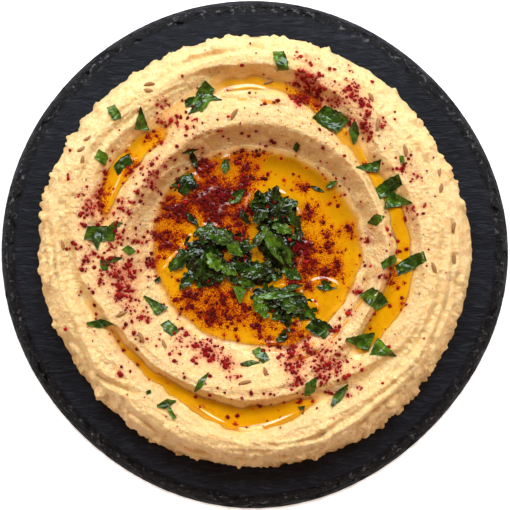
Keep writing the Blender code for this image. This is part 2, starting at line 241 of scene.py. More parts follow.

# Parsley on the oil: (x, y, height, length, width, direction, kind, (pitch, roll), (curls), lightness of
# green, partly freshness and partly painted light and shade), about the swirl's centre and above the oil.
# Curls are in radians a millimetre, along and across.
HEAP_LEAVES = (
    # At the far side of the heap.
    (9, 24, 3.6, 9.0, 7.0, 78, "sprig", (8, 10), (-0.10, -0.16), 0.30),
    (3, 17, 3.8, 11.0, 9.0, 55, "sprig", (-6, -16), (-0.12, -0.18), 0.15),
    (14, 20, 3.4, 10.0, 8.0, 15, "sprig", (4, -12), (-0.10, -0.14), 0.30),
    (17, 14, 3.2, 10.0, 7.0, -60, "sprig", (-14, 8), (-0.08, -0.12), 0.20),
    (12, 10, 4.6, 9.0, 6.5, -20, "sprig", (-6, -10), (-0.06, -0.10), 0.65),
    (-4, 15, 2.2, 7.0, 5.0, 120, "sprig", (5, -20), (-0.15, -0.2), 0.0),
    (19, 8, 1.8, 8.0, 4.6, -80, "blade", (5, 20), (-0.1, -0.25), 0.10),
    # In the middle.
    (2, 6, 5.6, 14.0, 5.0, 47, "blade", (6, -28), (-0.05, -0.22), 0.45),
    (8, 4, 5.4, 18.0, 8.0, -58, "sprig", (-8, 12), (-0.05, -0.10), 0.60),
    (13, 0, 4.8, 14.0, 6.0, -66, "blade", (-10, 16), (-0.04, -0.14), 0.55),
    (9, 0, 5.4, 12.0, 4.5, -50, "blade", (-8, -24), (-0.04, 0.14), 0.70),
    (1, -8, 3.8, 14.0, 9.0, 8, "sprig", (4, -10), (-0.06, -0.12), 0.35),
    (-3, -13, 2.8, 8.0, 6.0, -22, "sprig", (-5, 8), (-0.10, -0.14), 0.50),
    (5, -6, 4.4, 8.0, 5.5, 60, "sprig", (8, 16), (-0.08, 0.12), 0.20),
    (16, -9, 0.9, 9.0, 7.0, -28, "sprig", (0, 0), (-0.02, -0.05), 0.55),
    (-4, 2, 2.2, 9.0, 5.0, 70, "sprig", (4, -14), (-0.08, -0.14), 0.15),
    (-5, -6, 2.4, 10.0, 5.5, -25, "sprig", (-4, 10), (-0.08, -0.12), 0.25),
    (-9, -11, 1.6, 8.0, 5.0, -40, "sprig", (4, 8), (-0.08, -0.12), 0.10),
    # At the left.
    (-15, 7, 4.6, 20.0, 9.5, -20, "sprig", (-5, -14), (-0.05, -0.14), 0.45),
    (-20, 8, 4.2, 9.0, 7.0, 40, "block", (8, -10), (-0.10, -0.12), 0.20),
    (-8, 1, 4.4, 9.0, 6.0, -35, "kite", (-8, 4), (-0.04, -0.10), 0.80),
    (-31, -3, 1.6, 17.0, 8.0, -142, "sprig", (-5, 10), (-0.04, -0.09), 0.40),
    (-28, -11, 1.5, 12.0, 7.0, -128, "sprig", (-4, 14), (-0.05, -0.12), 0.25),
    (-21, -7, 3.2, 16.0, 8.0, -95, "sprig", (-5, -8), (-0.04, -0.12), 0.10),
    (-17, -4, 4.8, 9.0, 8.0, -60, "sprig", (-4, -6), (-0.05, 0.10), 0.85),
    (-11, -7, 4.0, 9.0, 7.0, -30, "sprig", (-8, -12), (-0.08, -0.12), 0.65),
    (-25, 0, 3.4, 8.0, 5.0, 10, "sprig", (4, -16), (-0.08, -0.14), 0.25),
    # At the near side.
    (-6, -18, 1.4, 7.5, 7.0, -90, "wedge", (-3, 0), (-0.04, -0.05), 0.95),
    (10, -18, 3.2, 20.0, 4.2, 3, "blade", (2, -14), (-0.02, -0.16), 0.80),
    (16, -15, 2.8, 10.0, 4.0, 15, "blade", (2, -20), (-0.05, -0.2), 0.30),
    (3, -23, 2.6, 11.0, 8.5, 118, "sprig", (6, 10), (-0.06, -0.10), 0.80),
    (16, -22, 3.0, 16.0, 10.0, -24, "sprig", (-6, -8), (-0.04, -0.09), 0.40),
    (23, -25, 1.6, 9.0, 6.0, -50, "sprig", (-5, 6), (-0.05, -0.09), 0.45),
    (14, -29, 1.3, 8.0, 6.0, -90, "sprig", (-5, 6), (-0.06, -0.12), 0.25),
    # Apart from the heap, wet or half sunk.
    (30, -14, 0.5, 11.0, 6.0, -8, "sprig", (0, 0), (-0.02, -0.04), 0.30),
    (-29, 29, 1.9, 11.0, 9.5, 60, "sprig", (4, -8), (-0.13, -0.16), 0.15),
    (-26, 14, 0.4, 8.0, 3.6, -50, "blade", (0, 0), (-0.02, -0.05), 0.20),
    (-7, 24, 0.5, 8.5, 5.5, 42, "blade", (0, 0), (-0.02, -0.05), 0.45),
    (-12, 37, 0.4, 7.0, 4.4, 78, "blade", (0, 0), (0.03, 0.08), 0.50),
    (27, 27, 0.3, 6.2, 2.2, -25, "blade", (0, 0), (-0.02, -0.05), 0.35),
    (33, 29, 0.6, 5.4, 3.0, 30, "blade", (0, 0), (-0.02, -0.05), 0.55),
    (12, -36, 0.9, 5.8, 5.0, 30, "sprig", (0, -6), (-0.10, -0.14), 0.15),
)  # fmt: skip

# The body of the heap, under its leaves, as low mounds: (x, y, long radius, short radius, direction, height).
MOUNDS = (
    (-21, -4, 12.5, 9.5, -50, 3.0),
    (-15, 6, 10.5, 5.0, -18, 3.4),
    (8, 18, 11.0, 8.0, -25, 3.0),
    (10, 3, 12.5, 8.5, -62, 4.2),
    (2, -9, 10.0, 5.5, 0, 3.0),
    (-5, -3, 5.0, 8.0, 0, 1.6),
    (12, -21, 14.5, 6.5, -14, 2.3),
    (14, -29, 6.0, 4.0, -60, 1.0),
    (-29, 29, 5.5, 4.5, 60, 1.2),
)  # fmt: skip
LEAF_MENISCI = (
    (-31, -3, 8.0, 3.2, -142, 0),
    (30, -14, 5.0, 2.6, -8, 0),
    (-12, 37, 3.5, 2.0, 78, 0),
    (28, -32, 5.0, 4.0, -30, 0),
    (-53, 40, 5.5, 4.2, 38, 0),
    (66, -4.6, 7.4, 3.6, 28, 0),
)  # fmt: skip

# Paprika scattered in pinches: (angle, radius, spread, flakes). First on the oil, then on the hummus.
OIL_PINCHES = (
    (117, 42, 2.2, 24), (96.5, 32.6, 2.4, 34), (98, 37.7, 2.4, 30), (100, 44, 2.5, 10), (88, 41, 2.5, 9),
    (85, 31, 1.5, 3), (124, 27.8, 3.4, 110), (137, 24.3, 3.4, 120), (130, 33.0, 3.0, 60),
    (112, 28.5, 3.0, 44), (123, 39.5, 3.0, 40), (144, 35, 3.0, 40), (151, 36.6, 2.8, 34),
    (150, 42, 2.0, 12), (159, 40.2, 3.0, 30), (155, 32.8, 2.8, 26), (172, 38.6, 2.6, 36),
    (176, 33.4, 3.0, 20), (168, 44, 1.3, 7), (186, 43.6, 1.2, 8), (111, 17.8, 2.4, 30),
    (101, 19.7, 2.2, 22), (141, 8.4, 3.0, 16), (104, 24, 3.0, 18), (54, 34.7, 1.1, 11), (33, 29.9, 2.0, 28),
    (25, 32.9, 1.0, 4), (15.4, 41, 1.1, 9), (9, 41.5, 0.8, 3), (11, 33.1, 1.0, 7), (13, 36, 0.8, 3),
    (3, 31.2, 1.4, 10), (7, 20.7, 3.0, 60), (15, 23.5, 2.4, 30), (357, 19, 2.8, 30), (345, 25.7, 2.6, 34),
    (350, 35.2, 1.7, 22), (342, 31.2, 1.9, 14), (344.5, 39.6, 0.8, 3), (359, 37.8, 0.9, 3),
    (329, 25.5, 2.4, 12), (0, 28.3, 5.0, 16), (36, 41.9, 2.0, 3), (214.4, 33.1, 2.6, 34),
    (227, 25, 3.4, 34), (227, 33.3, 2.6, 26), (236, 31.8, 2.6, 26), (242, 30.7, 2.4, 18),
    (208, 39.7, 1.0, 3), (218, 40.2, 0.8, 3), (258, 24.8, 3.0, 34), (272, 30.6, 1.5, 16),
    (255.6, 29.4, 1.6, 5), (237.5, 37, 3.0, 8), (324, 21, 3.0, 20), (286, 37.4, 3.0, 16),
    (278.6, 36.3, 2.4, 10), (294.8, 36.5, 2.5, 18), (295.9, 39.1, 2.0, 8), (260.5, 37.5, 0.3, 1),
    (150, 4.5, 2.4, 16), (205, 10, 2.4, 12), (255, 13, 3.0, 20), (120, 12, 2.4, 20), (240, 18, 3.0, 24),
)  # fmt: skip
HUMMUS_PINCHES = (
    # Far right, beside the groove.
    (59, 78.5, 2.2, 26), (54, 77, 1.8, 14), (74, 76, 2.6, 28), (70, 75.5, 2.5, 18), (72, 68.5, 3.0, 36),
    (66, 69.5, 2.0, 14), (62, 73, 1.6, 10), (53, 70, 1.2, 4), (49, 71, 1.8, 15), (48, 69, 1.2, 4),
    (45, 68.6, 1.5, 5), (50, 75, 1.2, 7), (46, 77, 1.4, 9), (53, 79.5, 1.0, 3), (29, 74.5, 2.4, 12),
    (65, 81, 7.0, 26), (76, 83, 4.0, 10), (26, 74, 2.0, 5), (13, 70, 3.0, 10), (60, 66, 3.0, 8),
    # Far left and left.
    (120, 73, 1.2, 6), (121, 63, 3.0, 14), (131, 63, 2.5, 9), (113, 56, 5.0, 12), (126, 68, 1.0, 3),
    (151.3, 71, 0.4, 3), (145, 73.2, 0.6, 1), (157.4, 76.7, 0.5, 1), (157, 70.4, 1.2, 8),
    (158, 67.2, 0.6, 2), (161.2, 69.9, 1.2, 6), (164.4, 71.7, 1.6, 16), (161.7, 74.9, 1.3, 6),
    (166.4, 70.3, 1.2, 5), (164.4, 66.5, 1.1, 7), (166, 62.4, 1.2, 5), (169.2, 65.6, 1.2, 5),
    (168, 58.7, 0.7, 2), (171.4, 72.3, 1.1, 4), (158.4, 83, 0.6, 2), (178.5, 76.8, 1.0, 4),
    (177.9, 73.3, 0.6, 2), (182, 69, 1.9, 12), (185.6, 72.2, 0.9, 4), (177.4, 59.6, 1.2, 6),
    (173.3, 56.7, 2.0, 10), (174, 49.3, 1.4, 5), (170, 46.5, 1.2, 4), (162.4, 56.1, 3.0, 14),
    (157, 55.8, 3.0, 8), (148.3, 51.4, 1.8, 10), (142.4, 52.4, 1.3, 8), (138.8, 56.6, 1.2, 5),
    (135.8, 53, 1.0, 5), (146.3, 62.6, 1.6, 8), (143.5, 62.7, 1.0, 4), (142, 57.6, 1.4, 4),
    (185.2, 59.4, 1.7, 14), (185.8, 53, 2.0, 12), (187, 44, 1.4, 9),
    # Near left.
    (190.1, 58.7, 2.0, 30), (191.7, 64.4, 1.0, 5), (189, 65.6, 1.0, 4), (192.5, 70.3, 1.0, 3),
    (197.2, 57.5, 2.0, 24), (196.3, 54.3, 1.2, 5), (190.3, 53.7, 2.5, 14), (192.6, 50.5, 0.8, 2),
    (193.2, 45.2, 0.8, 2), (197.6, 62, 1.8, 6), (202.8, 54.6, 1.3, 4), (201.4, 59, 2.0, 6),
    (211.2, 55.2, 2.2, 8), (206, 55.6, 1.4, 3), (228.3, 48.7, 1.5, 8), (230.5, 44.3, 1.2, 4),
    (237.8, 46.3, 1.6, 10), (231, 52.6, 0.8, 2), (243.7, 42.9, 1.0, 5), (243.7, 46, 2.0, 14),
    (222, 77, 1.2, 3), (212, 60, 4.0, 6),
    # Near side.
    (246, 47.4, 2.2, 12), (253, 46, 2.5, 14), (257.4, 47.6, 2.0, 12), (239.4, 52.3, 1.2, 3),
    (260, 50, 4.0, 8), (287.2, 51.6, 1.5, 14), (292, 50.2, 1.7, 18), (288.9, 55.8, 1.6, 14),
    (285.4, 57.7, 1.0, 4), (302.7, 54.4, 2.2, 24), (305.8, 57.4, 1.8, 18), (299.8, 60.5, 1.0, 5),
    (298.6, 57, 1.6, 8), (305.2, 62, 1.5, 6), (301.5, 50.8, 1.0, 3), (309.9, 51.3, 1.2, 3),
    (311, 55.5, 1.2, 3), (311.5, 59.2, 1.3, 3), (312, 65, 1.2, 3), (315.4, 47.7, 1.2, 5),
    (307.7, 48, 1.2, 4), (298.4, 43.2, 1.0, 4), (301.8, 42.3, 0.9, 3), (298, 45.9, 1.2, 8),
    (290.2, 44.3, 2.2, 14), (279.7, 40.7, 1.4, 5), (282.7, 45.5, 1.2, 3), (278.5, 60.5, 0.3, 1),
    (287.8, 66.2, 0.6, 2), (298.3, 68, 1.0, 3), (303.4, 71.3, 1.5, 6), (308.3, 71.8, 1.0, 3),
    # Right.
    (327, 48.4, 1.2, 3), (350, 56, 2.2, 12), (349, 60, 1.8, 8), (340, 47, 1.8, 6), (352, 47, 1.2, 4),
    (339, 46.8, 1.4, 5), (5.4, 48.9, 1.2, 4),
)  # fmt: skip

# Cumin seeds: (angle, radius, direction).
SEEDS = (
    (122, 82.7, 10), (123, 80.8, -10), (101, 78.8, 90), (145, 84.5, 30), (149, 84.4, 30), (152, 81.3, 85),
    (178, 80.9, 95), (98, 58.1, 60), (53, 81.2, -70), (46, 74.4, 84), (34, 76.2, -80), (19, 82.7, 75),
    (23, 85.0, 80), (7, 59.4, -60), (85, 72.1, 20), (205, 61.2, 25), (217, 59.1, -65), (226, 54.1, -70),
    (266, 54.7, 15), (275, 51.0, -85), (355, 75.7, -70), (358, 84.4, 90), (7, 85.0, 80),
)  # fmt: skip

# Where the relief's peaks begin to level off, above the plate, and how much higher they can reach.
HIGHEST = 20.0
PEAK_ROOM = 0.6

# Low swells along the oil where it rides up on something: the line each follows, its height and its width.
SWELLS = (
    (((145, 64.9), (150, 64.3), (156, 63.9), (162, 63.9)), 0.46, 0.90),
    (((142, 66.5), (146, 69.4), (151, 69.6), (155, 67.5)), 0.36, 0.75),
    (((84, 68.8), (91, 69.8), (99, 69.2), (104, 67.6)), 0.50, 1.00),
    (((86, 66.2), (93, 67.0), (100, 66.6)), 0.45, 0.90),
    (((36, 60.2), (41, 61.3), (46, 62.6)), 0.40, 0.80),
    (((46, 64.4), (51, 63.8), (57, 65.0)), 0.40, 0.80),
    (((266.5, 75.0), (272, 74.0), (277, 72.6), (283, 71.0), (290, 69.9)), 0.68, 1.05),
    (((244, 68.2), (250, 70.2), (258, 72.9), (266, 74.9)), 0.68, 1.05),
    (((26, 59.6), (30, 59.0), (35, 59.3)), 0.34, 0.70),
    (((112, 22.0), (124, 23.5), (138, 21.0)), 0.45, 0.95),
    (((118, 33.0), (128, 31.6), (138, 32.6)), 0.40, 0.85),
    (((262, 37.6), (276, 38.6), (292, 40.6)), 0.44, 0.85),
    (((304, 41.6), (318, 41.9), (334, 43.3)), 0.44, 0.85),
)

# Levels of the oil lying in the grooves, and how it climbs what it touches.
UPPER_OIL_LEVEL = (
    (0, 13.8), (28, 13.8), (38, 14.1), (50, 14.35), (62, 14.1), (72, 13.7), (104, 13.7), (112, 14.3),
    (122, 14.95), (130, 14.8), (138, 14.1), (165, 14.0), (176, 13.2), (190, 10.5), (300, 10.5), (312, 13.2),
    (320, 13.8),
)  # fmt: skip
FILM_CLIMB = 1.7
LOWER_OIL_LEVEL = (
    (196, 12.0), (215, 12.0), (235, 12.3), (252, 12.95), (262, 13.5), (273, 13.65), (285, 13.6),
    (293, 13.35), (300, 12.95), (60, 12.4),
)  # fmt: skip
OIL_CLIMB = 0.30
OIL_SHOWN = 0.035
OIL_SUNK = 0.03
OIL_FELT = 0.15
LOWER_OIL_SPAN = (196.0, 300.0)
KNOB_REACH = 0.62


# ---------------------------------------------------------------- numbers


def around(points, angle):
    """The value at each angle of the smooth closed curve through (angle, value) points."""
    knots = sorted((a % FULL_TURN, v) for a, v in points)
    place = np.array([a for a, _ in knots], float)
    value = np.array([v for _, v in knots], float)
    angle = np.asarray(angle, float) % FULL_TURN
    after = np.searchsorted(place, angle, side="right")

    def knot(index):
        turns, k = np.divmod(index, len(knots))
        return place[k] + turns * FULL_TURN, value[k]

    (a0, v0), (a1, v1), (a2, v2), (a3, v3) = (knot(after + k) for k in (-2, -1, 0, 1))
    span = a2 - a1
    t = (angle - a1) / span
    slope_in = (v2 - v0) / (a2 - a0) * span
    slope_out = (v3 - v1) / (a3 - a1) * span
    rise = v2 - v1
    square = 3 * rise - 2 * slope_in - slope_out
    return v1 + t * (slope_in + t * (square + t * (slope_in + slope_out - 2 * rise)))


def ease(t):
    """From 0 at 0 to 1 at 1, flat at both."""
    t = np.clip(t, 0.0, 1.0)
    return t * t * (3.0 - 2.0 * t)


def step(low, high, x):
    """0 below low, 1 above high, eased between."""
    return ease((np.asarray(x) - low) / (high - low))


def hill(offset, width):
    """A bell-shaped hill, 1 in its middle."""
    return np.exp(-((offset / width) ** 2))


def scramble(x, y, z, seed):
    """A repeatable number from 0 to 1 for each lattice cell."""
    n = (x * 374761393 + y * 668265263 + z * 1440670441 + seed * 974634777) & 0xFFFFFFFF
    n = ((n ^ (n >> 13)) * 1274126177) & 0xFFFFFFFF
    n = ((n ^ (n >> 15)) * 2246822519) & 0xFFFFFFFF
    return (n ^ (n >> 16)) / 4294967295.0


def noise(points, seed):
    """Smooth noise from -1 to 1, with features about one unit across."""
    cell = np.floor(points).astype(np.int64)
    f = points - cell
    f = f * f * f * (f * (f * 6 - 15) + 10)
    total = 0.0
    for corner in itertools.product((0, 1), repeat=3):
        weight = np.prod(np.where(np.array(corner) == 1, f, 1.0 - f), axis=-1)
        x, y, z = (cell[..., i] + corner[i] for i in range(3))
        total = total + weight * (scramble(x, y, z, seed) * 2.0 - 1.0)
    return total


def fractal(points, seed, octaves):
    """Noise with finer noise on top."""
    total, size, whole = 0.0, 1.0, 0.0
    for i in range(octaves):
        total = total + size * noise(points * 2.0**i, seed + i)
        whole += size
        size *= 0.5
    return total / whole


def cells(points, seed, numbers=1):
    """The way from the nearest of one random point per unit cell, and that cell's own numbers from 0 to 1."""
    cell = np.floor(points).astype(np.int64)
    best = np.full(points.shape[:-1], np.inf)
    away = np.zeros(points.shape)
    own = [np.zeros(points.shape[:-1])] * numbers
    for shift in itertools.product((-1, 0, 1), repeat=3):
        x, y, z = (cell[..., i] + shift[i] for i in range(3))
        way = points - np.stack([c + scramble(x, y, z, seed + k) for k, c in enumerate((x, y, z))], axis=-1)
        distance = np.linalg.norm(way, axis=-1)
        nearer = distance < best
        best = np.where(nearer, distance, best)
        away = np.where(nearer[..., None], way, away)
        own = [np.where(nearer, scramble(x, y, z, seed + 3 + k), old) for k, old in enumerate(own)]
    return away, own


def flat_xy(radius, angle):
    """Plate coordinates of a point given from the swirl's centre."""
    turn = np.radians(angle)
    return SWIRL_CENTRE[0] + radius * np.cos(turn), SWIRL_CENTRE[1] + radius * np.sin(turn)


def on_plane(x, y):
    """Points of a level plane, to take noise at."""
    return np.stack([x, y, np.zeros(np.shape(x))], axis=-1)


def polar(x, y):
    """Radius and angle about the swirl's centre."""
    dx, dy = np.asarray(x) - SWIRL_CENTRE[0], np.asarray(y) - SWIRL_CENTRE[1]
    return np.hypot(dx, dy), np.degrees(np.arctan2(dy, dx)) % FULL_TURN


# ---------------------------------------------------------------- the hummus's shape


def groove_depth(groove, radius, angle):
    """How deep a groove is cut at a place."""
    depth = np.maximum(around(groove["depth"], angle), 0.0)
    offset = radius - around(groove["centre"], angle)
    offset = offset / np.where(offset > 0, around(groove["outer"], angle), around(groove["inner"], angle))
    flat, steep = GROOVE_POWERS
    return depth * np.clip(1.0 - np.abs(offset) ** flat, 0.0, 1.0) ** steep


def swirl_height(radius, angle):
    """The CAD part's height of the hummus above the plate."""
    edge, crest = around(POOL_EDGE, angle), around(INNER_CREST, angle)
    rim, foot = around(OUTER_CREST, angle), around(FOOT, angle)
    crest_height, rim_height = around(INNER_CREST_HEIGHT, angle), around(OUTER_CREST_HEIGHT, angle)
    floor = POOL_FLOOR + (POOL_LEVEL - POOL_FLOOR) * np.clip(radius / edge, 0, 1) ** POOL_FLOOR_SHARPNESS
    t = np.clip((radius - edge) / (crest - edge), 0, 1)
    climb = WALL_START_SHARE * t + (1 - WALL_START_SHARE) * ease(t)
    wall = POOL_LEVEL + (crest_height - POOL_LEVEL) * climb
    band = crest_height + (rim_height - crest_height) * ease((radius - crest) / (rim - crest))
    t = np.clip((radius - rim) / (foot - rim), 0.0, 1.0)
    flat, steep = OUTER_WALL_POWERS
    side = rim_height * (1.0 - t**flat) ** steep
    cut = groove_depth(UPPER_GROOVE, radius, angle) + groove_depth(LOWER_GROOVE, radius, angle)
    outside = np.maximum(np.where(radius < rim, band, side) - cut, 0.0)
    return np.where(radius < edge, floor, np.where(radius < crest, wall, outside))


def marks_at(radius, angle, places):
    """How far the spoon's and knife's marks lower the surface, and how thick the oil lies in them."""
    lowered, oil = np.zeros_like(radius), np.zeros_like(radius)
    wander = 0.5 * noise(places / 9.0, 71)
    for line, cut, width, held in MARKS:
        first, last = line[0][0], line[-1][0]
        turned = (angle - first) % FULL_TURN
        span = last - first
        inside = turned < span
        if not inside.any():
            continue
        fade = step(0, MARK_FADE, turned) * step(0, MARK_FADE, span - turned) * inside
        t = (radius - around(line, first + np.clip(turned, 0, span)) - wander) / width
        hollow = np.exp(-np.abs(t) ** MARK_SHARPNESS)
        if cut > 0:
            # The pushed-up hummus beside it, higher on the outer side.
            for side, share in zip((1, -1), MARK_SHOULDERS):
                hollow = hollow - share * hill(t - side * SHOULDER_PLACE, SHOULDER_WIDTH)
        lowered += (cut if held or cut < 0 else cut * BAND_MARK_SCALE) * fade * hollow
        if held:
            oil = np.maximum(oil, held * cut * fade * (np.exp(-(t**2) * 0.9) * 1.5 - 0.5))
    return lowered, oil


def in_lower(turned):
    """Whether the oil of the lower groove lies at an angle."""
    return (turned > LOWER_OIL_SPAN[0]) & (turned < LOWER_OIL_SPAN[1])


def oil_level(radius, angle):
    """The level of the oil that lies in the well or in the groove at a place."""
    turned = np.asarray(angle) % FULL_TURN
    inside = radius < around(INNER_CREST, turned) + 1.0
    outside = np.where(in_lower(turned), around(LOWER_OIL_LEVEL, turned), around(UPPER_OIL_LEVEL, turned))
    return np.where(inside, POOL_LEVEL, outside)


def film(radius, angle, ground):
    """Where oil has run off and left a film: 1 just above the oil's level, 0 well above it."""
    turned = np.asarray(angle) % FULL_TURN
    rim = around(OUTER_CREST, turned)
    inside = radius < around(INNER_CREST, turned)
    near_side = step(200.0, 225.0, turned) * step(300.0, 275.0, turned)
    climb = np.where(inside, (0.12 + 0.45 * near_side) * FILM_CLIMB, FILM_CLIMB)
    return step(1.0, 0.55, (ground - oil_level(radius, angle)) / climb) * (radius < rim)


def knobs(points, seed):
    """Round knobs of curd, some large and some missing, from 0 to 1."""
    away, (own,) = cells(points, seed)
    near = np.linalg.norm(away, axis=-1)
    return np.sqrt(np.clip(1.0 - (near / KNOB_REACH) ** 2, 0.0, 1.0)) * step(0.25, 0.95, own)


def relief(radius, angle):
    """Everything that the CAD part's smooth swirl leaves out: marks, drag lines, lumps and grain."""
    x, y = flat_xy(radius, angle)
    places = on_plane(x, y)
    crest, rim, foot = around(INNER_CREST, angle), around(OUTER_CREST, angle), around(FOOT, angle)
    edge = around(POOL_EDGE, angle)
    outer = step(-9.0, 1.0, radius - rim)
    wall_end = 1.0 - step(0.55, 0.9, (radius - rim) / (foot - rim))
    band = step(crest - 3.0, crest + 1.0, radius) * (1.0 - outer)
    turn = np.radians(angle)
    spiral = radius - 0.02 * angle
    drag = np.stack([np.cos(turn) * 4.2, np.sin(turn) * 4.2, spiral / 2.3], axis=-1)
    coarse_drag = np.stack([np.cos(turn) * 2.6, np.sin(turn) * 2.6, spiral / 5.0 + 7.0], axis=-1)
    combed = 1.0 - 2.0 * np.abs(noise(drag, 11))
    swept = noise(coarse_drag, 17)
    lumps = fractal(places / 7.0, 23, 2)
    patchy = step(-0.35, 0.4, noise(places / 11.0, 41))
    torn = 1.0 - np.abs(noise(places / 4.0, 45)) * 2.0
    ragged = step(0.15, 0.75, noise(places / 9.0, 49))
    rough = outer * (0.16 + 0.35 * patchy + 0.55 * ragged) + 0.12 * band * (0.3 + patchy) + 0.04
    curdled = 1.05 * knobs(places / 3.0, 31) + 0.62 * knobs(places / 1.7, 37) + 0.5 * noise(places / 1.2, 47)
    total = rough * curdled
    total = total + outer * (0.72 * combed + 0.85 * swept + 0.40 * lumps + 0.28 * patchy * torn)
    drawn = 0.28 * swept + 0.20 * combed + 0.16 * lumps
    total = total + (1.0 - outer) * drawn * step(-2.0, 4.0, radius - edge)
    ragged_crest = 0.6 + 0.7 * noise(places / 3.5, 53)
    total = total + 0.55 * hill(radius - crest - 0.6, 1.2) * ragged_crest
    total = total + 0.45 * hill(radius - rim, 1.4) * ragged_crest
    total = total * (1.0 - 0.8 * film(radius, angle, swirl_height(radius, angle)))
    total = total - marks_at(radius, angle, places)[0]
    return (total - 0.40 * outer) * wall_end


def warp(radius, angle):
    """How far the swirl's lines stray from their smooth course."""
    x, y = flat_xy(radius, angle)
    places = on_plane(x, y)
    inward = step(20.0, 40.0, radius)
    return inward * (0.75 * noise(places / 5.5, 101) + 0.30 * noise(places / 2.2, 103))


def hummus_height(radius, angle):
    """The height of the hummus with its relief, above the plate."""
    radius, angle = np.broadcast_arrays(np.asarray(radius, float), np.asarray(angle, float))
    height = swirl_height(radius + warp(radius, angle), angle) + relief(radius, angle)
    over = height - HIGHEST
    levelled = HIGHEST + PEAK_ROOM * np.tanh(np.maximum(over, 0.0) / PEAK_ROOM)
    height = np.where(over > 0, levelled, height)
    return np.maximum(height, 0.0)


def oil_thickness(radius, angle, ground):
    """The oil's thickness over the hummus: full depth where it lies, and a film that climbs its banks."""
    over = (oil_level(radius, angle) - ground) / OIL_CLIMB
    x, y = flat_xy(radius, angle)
    places = on_plane(x, y)
    held = marks_at(radius, angle, places)[1] * np.clip(0.55 + 1.1 * noise(places / 5.0, 79), 0.0, 1.1)
    return np.maximum(OIL_CLIMB * np.logaddexp(0.0, over), held)


def top_at(x, y):
    """The height above the plate of whatever is uppermost, hummus or oil, and how thick the oil is there."""
    radius, angle = polar(x, y)
    ground = hummus_height(radius, angle)
    oil = oil_thickness(radius, angle, ground)
    oil = np.where(oil > OIL_FELT, oil, 0.0)
    return ground + oil, oil


# ---------------------------------------------------------------- meshes and materials


def linked(name, data):
    made = bpy.data.objects.new(name, data)
    bpy.context.scene.collection.objects.link(made)
    return made


def mesh_object(name, vertices, faces, material, body="root"):
    mesh = bpy.data.meshes.new(name)
    mesh.from_pydata(np.asarray(vertices).tolist(), [], [list(f) for f in faces])
    mesh.update()
    mesh.shade_smooth()
    mesh.materials.append(material)
    made = linked(name, mesh)
    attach(made, body)
    return made


def grid_faces(rows, columns, closed=True):
    """Faces of a grid of rows, each of so many columns; closed joins the last column to the first."""
    last = columns if closed else columns - 1
    a = np.arange(rows - 1)[:, None] * columns
    i = np.arange(last)[None, :]
    j = (i + 1) % columns
    return np.stack([a + i, a + j, a + columns + j, a + columns + i], axis=-1).reshape(-1, 4)


def in_use(faces, count):
    """The vertices that faces use, out of so many, and the same faces numbered by those."""
    used = np.unique(faces)
    number = np.zeros(count, int)
    number[used] = np.arange(len(used))
    return used, number[faces]


def attribute(obj, name, values):
    made = obj.data.attributes.new(name, "FLOAT", "POINT")
    made.data.foreach_set("value", np.asarray(values, dtype=np.float32).ravel())


class Nodes:
    """Short ways to build the nodes of a material or of the world."""

    def __init__(self, owner):
        owner.use_nodes = True
        self.owner = owner
        self.tree = owner.node_tree
        self.coordinates = None

    def node(self, kind, inputs=None, **settings):
        made = self.tree.nodes.new("ShaderNode" + kind)
        for key, value in settings.items():
            setattr(made, key, value)
        for key, value in (inputs or {}).items():
            self.put(made.inputs[key], value)
        return made

    def put(self, socket, value):
        if isinstance(value, bpy.types.NodeSocket):
            self.tree.links.new(value, socket)
        elif socket.type == "RGBA":
            socket.default_value = (*value, 1.0)
        else:
            socket.default_value = value

    def place(self, scale, rotation=(0, 0, 0)):
        if self.coordinates is None:
            self.coordinates = self.node("TexCoord").outputs["Object"]
        made = self.node("Mapping", {"Vector": self.coordinates, "Scale": scale, "Rotation": rotation})
        return made.outputs["Vector"]

    def noise(self, size_mm, detail, roughness, stretch=(1, 1, 1), turn=0.0, distortion=0.0):
        where = self.place(tuple(s / (size_mm * MM) for s in stretch), (0, 0, math.radians(turn)))
        inputs = {"Vector": where, "Scale": 1.0, "Detail": detail, "Roughness": roughness}
        return self.node("TexNoise", {**inputs, "Distortion": distortion}).outputs["Fac"]

    def voronoi(self, size_mm):
        where = self.place((1.0 / (size_mm * MM),) * 3)
        return self.node("TexVoronoi", {"Vector": where, "Scale": 1.0}).outputs["Distance"]

    def ramp(self, value, stops):
        made = self.node("ValToRGB", {"Fac": value})
        elements = made.color_ramp.elements
        while len(elements) < len(stops):
            elements.new(0.5)
        for element, (place, colour) in zip(elements, stops):
            element.position = place
            element.color = (*colour, 1.0)
        return made.outputs["Color"]

    def between(self, value, low, high, to_low=0.0, to_high=1.0, kind="SMOOTHSTEP"):
        inputs = {"Value": value, "From Min": low, "From Max": high, "To Min": to_low, "To Max": to_high}
        return self.node("MapRange", inputs, interpolation_type=kind).outputs["Result"]

    def maths(self, operation, *values):
        made = self.node("Math", operation=operation)
        for socket, value in zip(made.inputs, values):
            self.put(socket, value)
        return made.outputs["Value"]

    def times(self, a, b):
        return self.maths("MULTIPLY", a, b)

    def total(self, *parts):
        """The sum of (value, factor) parts."""
        values = [self.times(value, factor) for value, factor in parts]
        while len(values) > 1:
            values[:2] = [self.maths("ADD", *values[:2])]
        return values[0]

    def mix(self, factor, a, b):
        made = self.node("Mix", data_type="RGBA")
        for key, value in (("Factor", factor), (6, a), (7, b)):
            self.put(made.inputs[key], value)
        return made.outputs[2]

    def tinted(self, base, value, low, high, most, colour):
        """The base turned towards a colour as a value goes from low to high."""
        return self.mix(self.between(value, low, high, 0.0, most), base, colour)

    def attribute(self, name):
        return self.node("Attribute", attribute_name=name).outputs["Fac"]

    def bump(self, height, distance_mm, strength=1.0):
        inputs = {"Height": height, "Distance": distance_mm * MM, "Strength": strength}
        return self.node("Bump", inputs).outputs["Normal"]


